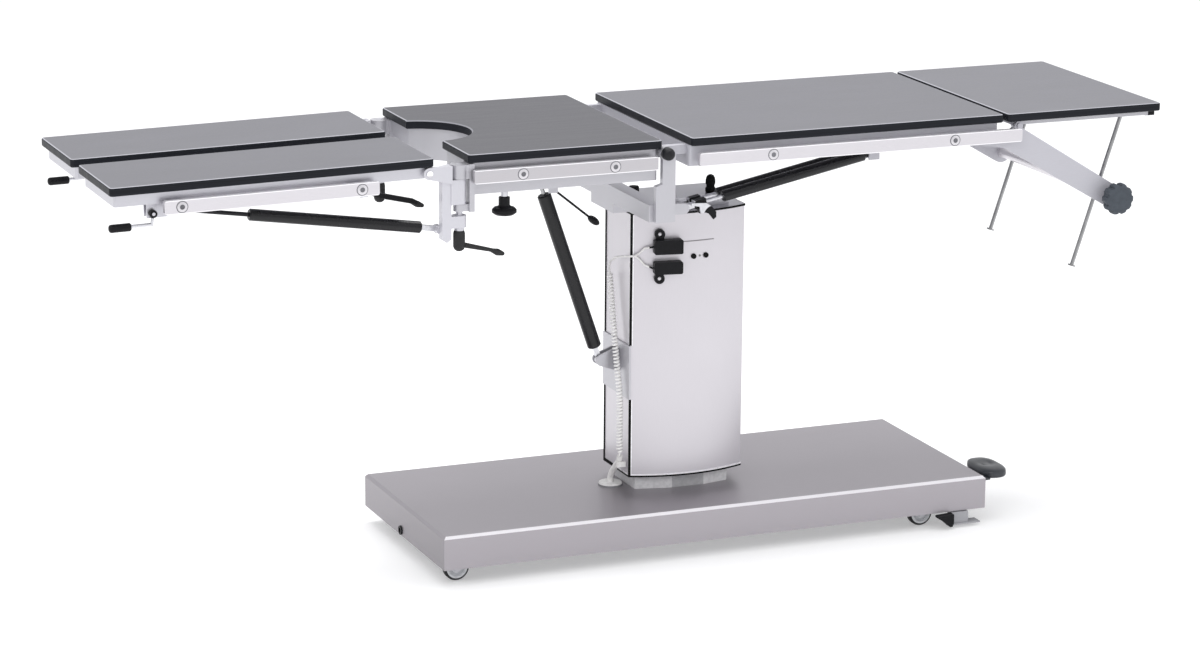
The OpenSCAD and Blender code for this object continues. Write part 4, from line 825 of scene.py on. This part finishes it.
# Painted shade: the dark grey line stands in for a groove's shade.
finish(brushed_steel("groove_shade_steel", (0.3, 0.29, 0.3)), "cover_line")
screw_steel = brushed_steel("screw_steel", (0.6, 0.585, 0.61), rough=0.28, grain=(1, 1, 1))
screw_dark = black_plastic("screw_shadow", (0.12, 0.12, 0.13), 0.5)
for section in ("seat", "back", "leg"):
    for side, _ in SIDES:
        finish(screw_steel, section + "_rail_screws_" + side, second=screw_dark)
finish(screw_steel, "lamp", second=painted("lamp_glass", (0.12, 0.14, 0.12), 0.3))
finish(screw_steel, "plug_screws")

# Boards, paint, plastic and rubber

finish(board_finish("board"), "back_panel", "leg_panel_near", "leg_panel_far")
finish(board_finish("head_board", 1.08), "head_panel")
finish(board_finish("seat_board", 0.575), "seat_panel")
finish(painted("chassis_paint", (0.32, 0.32, 0.34), 0.5), "base_frame", "lift_actuator")
finish(painted("cord_white", (0.88, 0.87, 0.86), 0.45), "curly_cord_wound")
finish(black_plastic("black_plastic"), "tilt_lever", "leg_lever_near", "leg_lever_far")
finish(black_plastic("glossy_black_plastic", rough=0.3, grain=500.0, gloss=0.25), "table_axle")
finish(black_rubber("black_rubber"), "button_up", "button_down")
finish(parted("slate_plastic", SLATE_LOOK), "star_knob")
finish(parted("pedal_finish", PEDAL_LOOK, gloss=0.5), "brake_pad", "brake_pedal")
finish(parted("floor_lock_finish", BLACK_LOOK), "floor_lock_lever")
finish(parted("clamp_finish", CLAMP_LOOK), "leg_clamp_near", "leg_clamp_far")

# Parts of several finishes

foot_low, foot_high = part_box("column_inner")
plate_from, plate_to = (foot_low[0] + share * (foot_high[0] - foot_low[0]) for share in PLATE_SHARES)
plate_top = foot_low[2] + PLATE_HEIGHT
finish(parted(
    "column_inner_finish", WHITE_LOOK,
    (foot_plate(plate_from, plate_to, plate_top), PLATE_LOOK),
    (foot_plate(plate_from - PLATE_SEAM, plate_from, plate_top), SEAM_LOOK),
    (foot_plate(plate_to, plate_to + PLATE_SEAM, plate_top), SEAM_LOOK),
), "column_inner")
finish(parted(
    "head_frame_finish", SATIN_LOOK, (past(0, HEAD_FRAME_END), BLACK_LOOK), grain=(0.4, 25, 25),
), "head_frame")
finish(parted("seat_knob_finish", BLACK_LOOK, (past(2, KNOB_TOP), SILVER_LOOK)), "seat_knob")
finish(parted(
    "socket_finish", BLACK_LOOK, (around(SOCKET_FACE, SOCKET_PIN_REACH), SILVER_LOOK),
), "power_socket")
finish(parted("trim_finish", RUBBER_LOOK, (beside_trim, TRIM_HIGHLIGHT_LOOK), gloss=0.1), "column_trim")
finish(parted("gland_finish", PALE_LOOK, (before(2, FLANGE_TOP), FLANGE_LOOK)), "cord_gland")
finish(parted("plug_finish", PALE_LOOK, (past(0, PLUG_FROM), BLACK_LOOK)), "cord_plugs")
finish(parted(
    "back_lever_finish", SILVER_LOOK, (around(BACK_PADDLE, BACK_PADDLE_REACH), BLACK_LOOK),
), "back_spring_lever")
finish(parted(
    "tilt_barrel_finish", BARREL_LOOK, (around(TILT_EYE, TILT_EYE_REACH), SILVER_LOOK), gloss=0.35,
), "tilt_spring_barrel")
finish(parted(
    "back_barrel_finish", BARREL_LOOK, (around(BACK_EYE, BACK_EYE_REACH), SILVER_LOOK), gloss=0.35,
), "back_spring_barrels")
finish(parted(
    "back_rod_finish", SILVER_LOOK, (past(0, BACK_CLEVIS), BLACK_LOOK), (past(0, BACK_ROD), SILVER_LOOK),
), "back_spring_rods")
finish(parted("leg_rod_finish", ROD_LOOK, gloss=0.3), "leg_spring_rod_near", "leg_spring_rod_far")
for side, sign in SIDES:
    finish(parted(
        "leg_barrel_" + side, BARREL_LOOK, (around(leg_eye(sign), LEG_EYE_REACH), SILVER_LOOK), gloss=0.35,
    ), "leg_spring_barrel_" + side)
    finish(rail_finish(
        "leg_frame_finish_" + side, LEG_RAIL_HEIGHT, BRIGHT, slope=math.tan(LEG_DROOP), foot=LEG_HINGE[0],
        frame_colour=LEG_FRAME, rail_from=LEG_RAIL_FROM,
    ), "leg_frame_" + side)
    finish(parted(
        "leg_crank_finish_" + side, SILVER_LOOK, (before(0, CRANK_GRIP), BLACK_LOOK),
        (around(crank_hub(sign), CRANK_HUB_REACH), BLACK_LOOK),
    ), "leg_crank_" + side)

# Castors: the third one stands turned a quarter round

TURNED_CASTOR = 3
fork_steel = brushed_steel("satin_steel_across", SATIN, grain=ACROSS)
for number in range(1, 5):
    wheel_low, wheel_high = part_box("castor_wheel_%d" % number)
    axle_place = (wheel_low + wheel_high) / 2
    wheel_look = castor_finish("castor_%d" % number, axle_place, number == TURNED_CASTOR)
    finish(wheel_look, "castor_wheel_%d" % number)
    finish(fork_steel, "castor_fork_%d" % number)


# Stage

def add_floor():
    """A pale floor, level and wide enough for every view: a grid whose height is nought everywhere."""
    half, lines = 40, 41
    span = np.linspace(-half, half, lines)
    x, y = np.meshgrid(span, span)
    points = np.stack([x, y, np.zeros_like(x)], -1).reshape(-1, 3)
    i = (np.arange(lines - 1)[:, None] * lines + np.arange(lines - 1)[None, :]).ravel()
    faces = np.stack([i, i + 1, i + lines + 1, i + lines], -1)
    mesh = bpy.data.meshes.new("floor")
    mesh.from_pydata(points.tolist(), [], faces.tolist())
    floor = bpy.data.objects.new("floor", mesh)
    bpy.context.scene.collection.objects.link(floor)
    paint = painted("floor_paint", (0.72, 0.72, 0.722), 0.8, 0.01)
    shader = paint.node_tree.nodes["Principled BSDF"]
    shader.inputs["Emission Color"].default_value = (1, 1, 1, 1)
    shader.inputs["Emission Strength"].default_value = 0.33
    mesh.materials.append(paint)


def add_light(name, place, target, power, size, size_y):
    """A rectangular lamp of a size in metres and a power in watts, turned to a target."""
    data = bpy.data.lights.new(name, "AREA")
    data.shape = "RECTANGLE"
    data.size = size
    data.size_y = size_y
    data.energy = power
    light = bpy.data.objects.new(name, data)
    light.location = place
    light.rotation_euler = (Vector(target) - Vector(place)).to_track_quat("-Z", "Y").to_euler()
    bpy.context.scene.collection.objects.link(light)


def add_world():
    """A pale sky all round, which is seen in the steel."""
    world = bpy.data.worlds.new("studio")
    bpy.context.scene.world = world
    world.use_nodes = True
    background = world.node_tree.nodes["Background"]
    background.inputs["Color"].default_value = (0.97, 0.975, 0.99, 1)
    background.inputs["Strength"].default_value = 0.92


add_floor()
add_light("key", (-2.5, -3.5, 4.2), (0, 0, 0.5), 52, 3.0, 2.2)
add_light("fill", (4.0, -3.0, 2.6), (0, 0, 0.6), 20, 3.0, 3.0)
add_light("top", (0, 0.6, 4.5), (0, 0, 0.6), 150, 4.0, 2.5)
add_world()
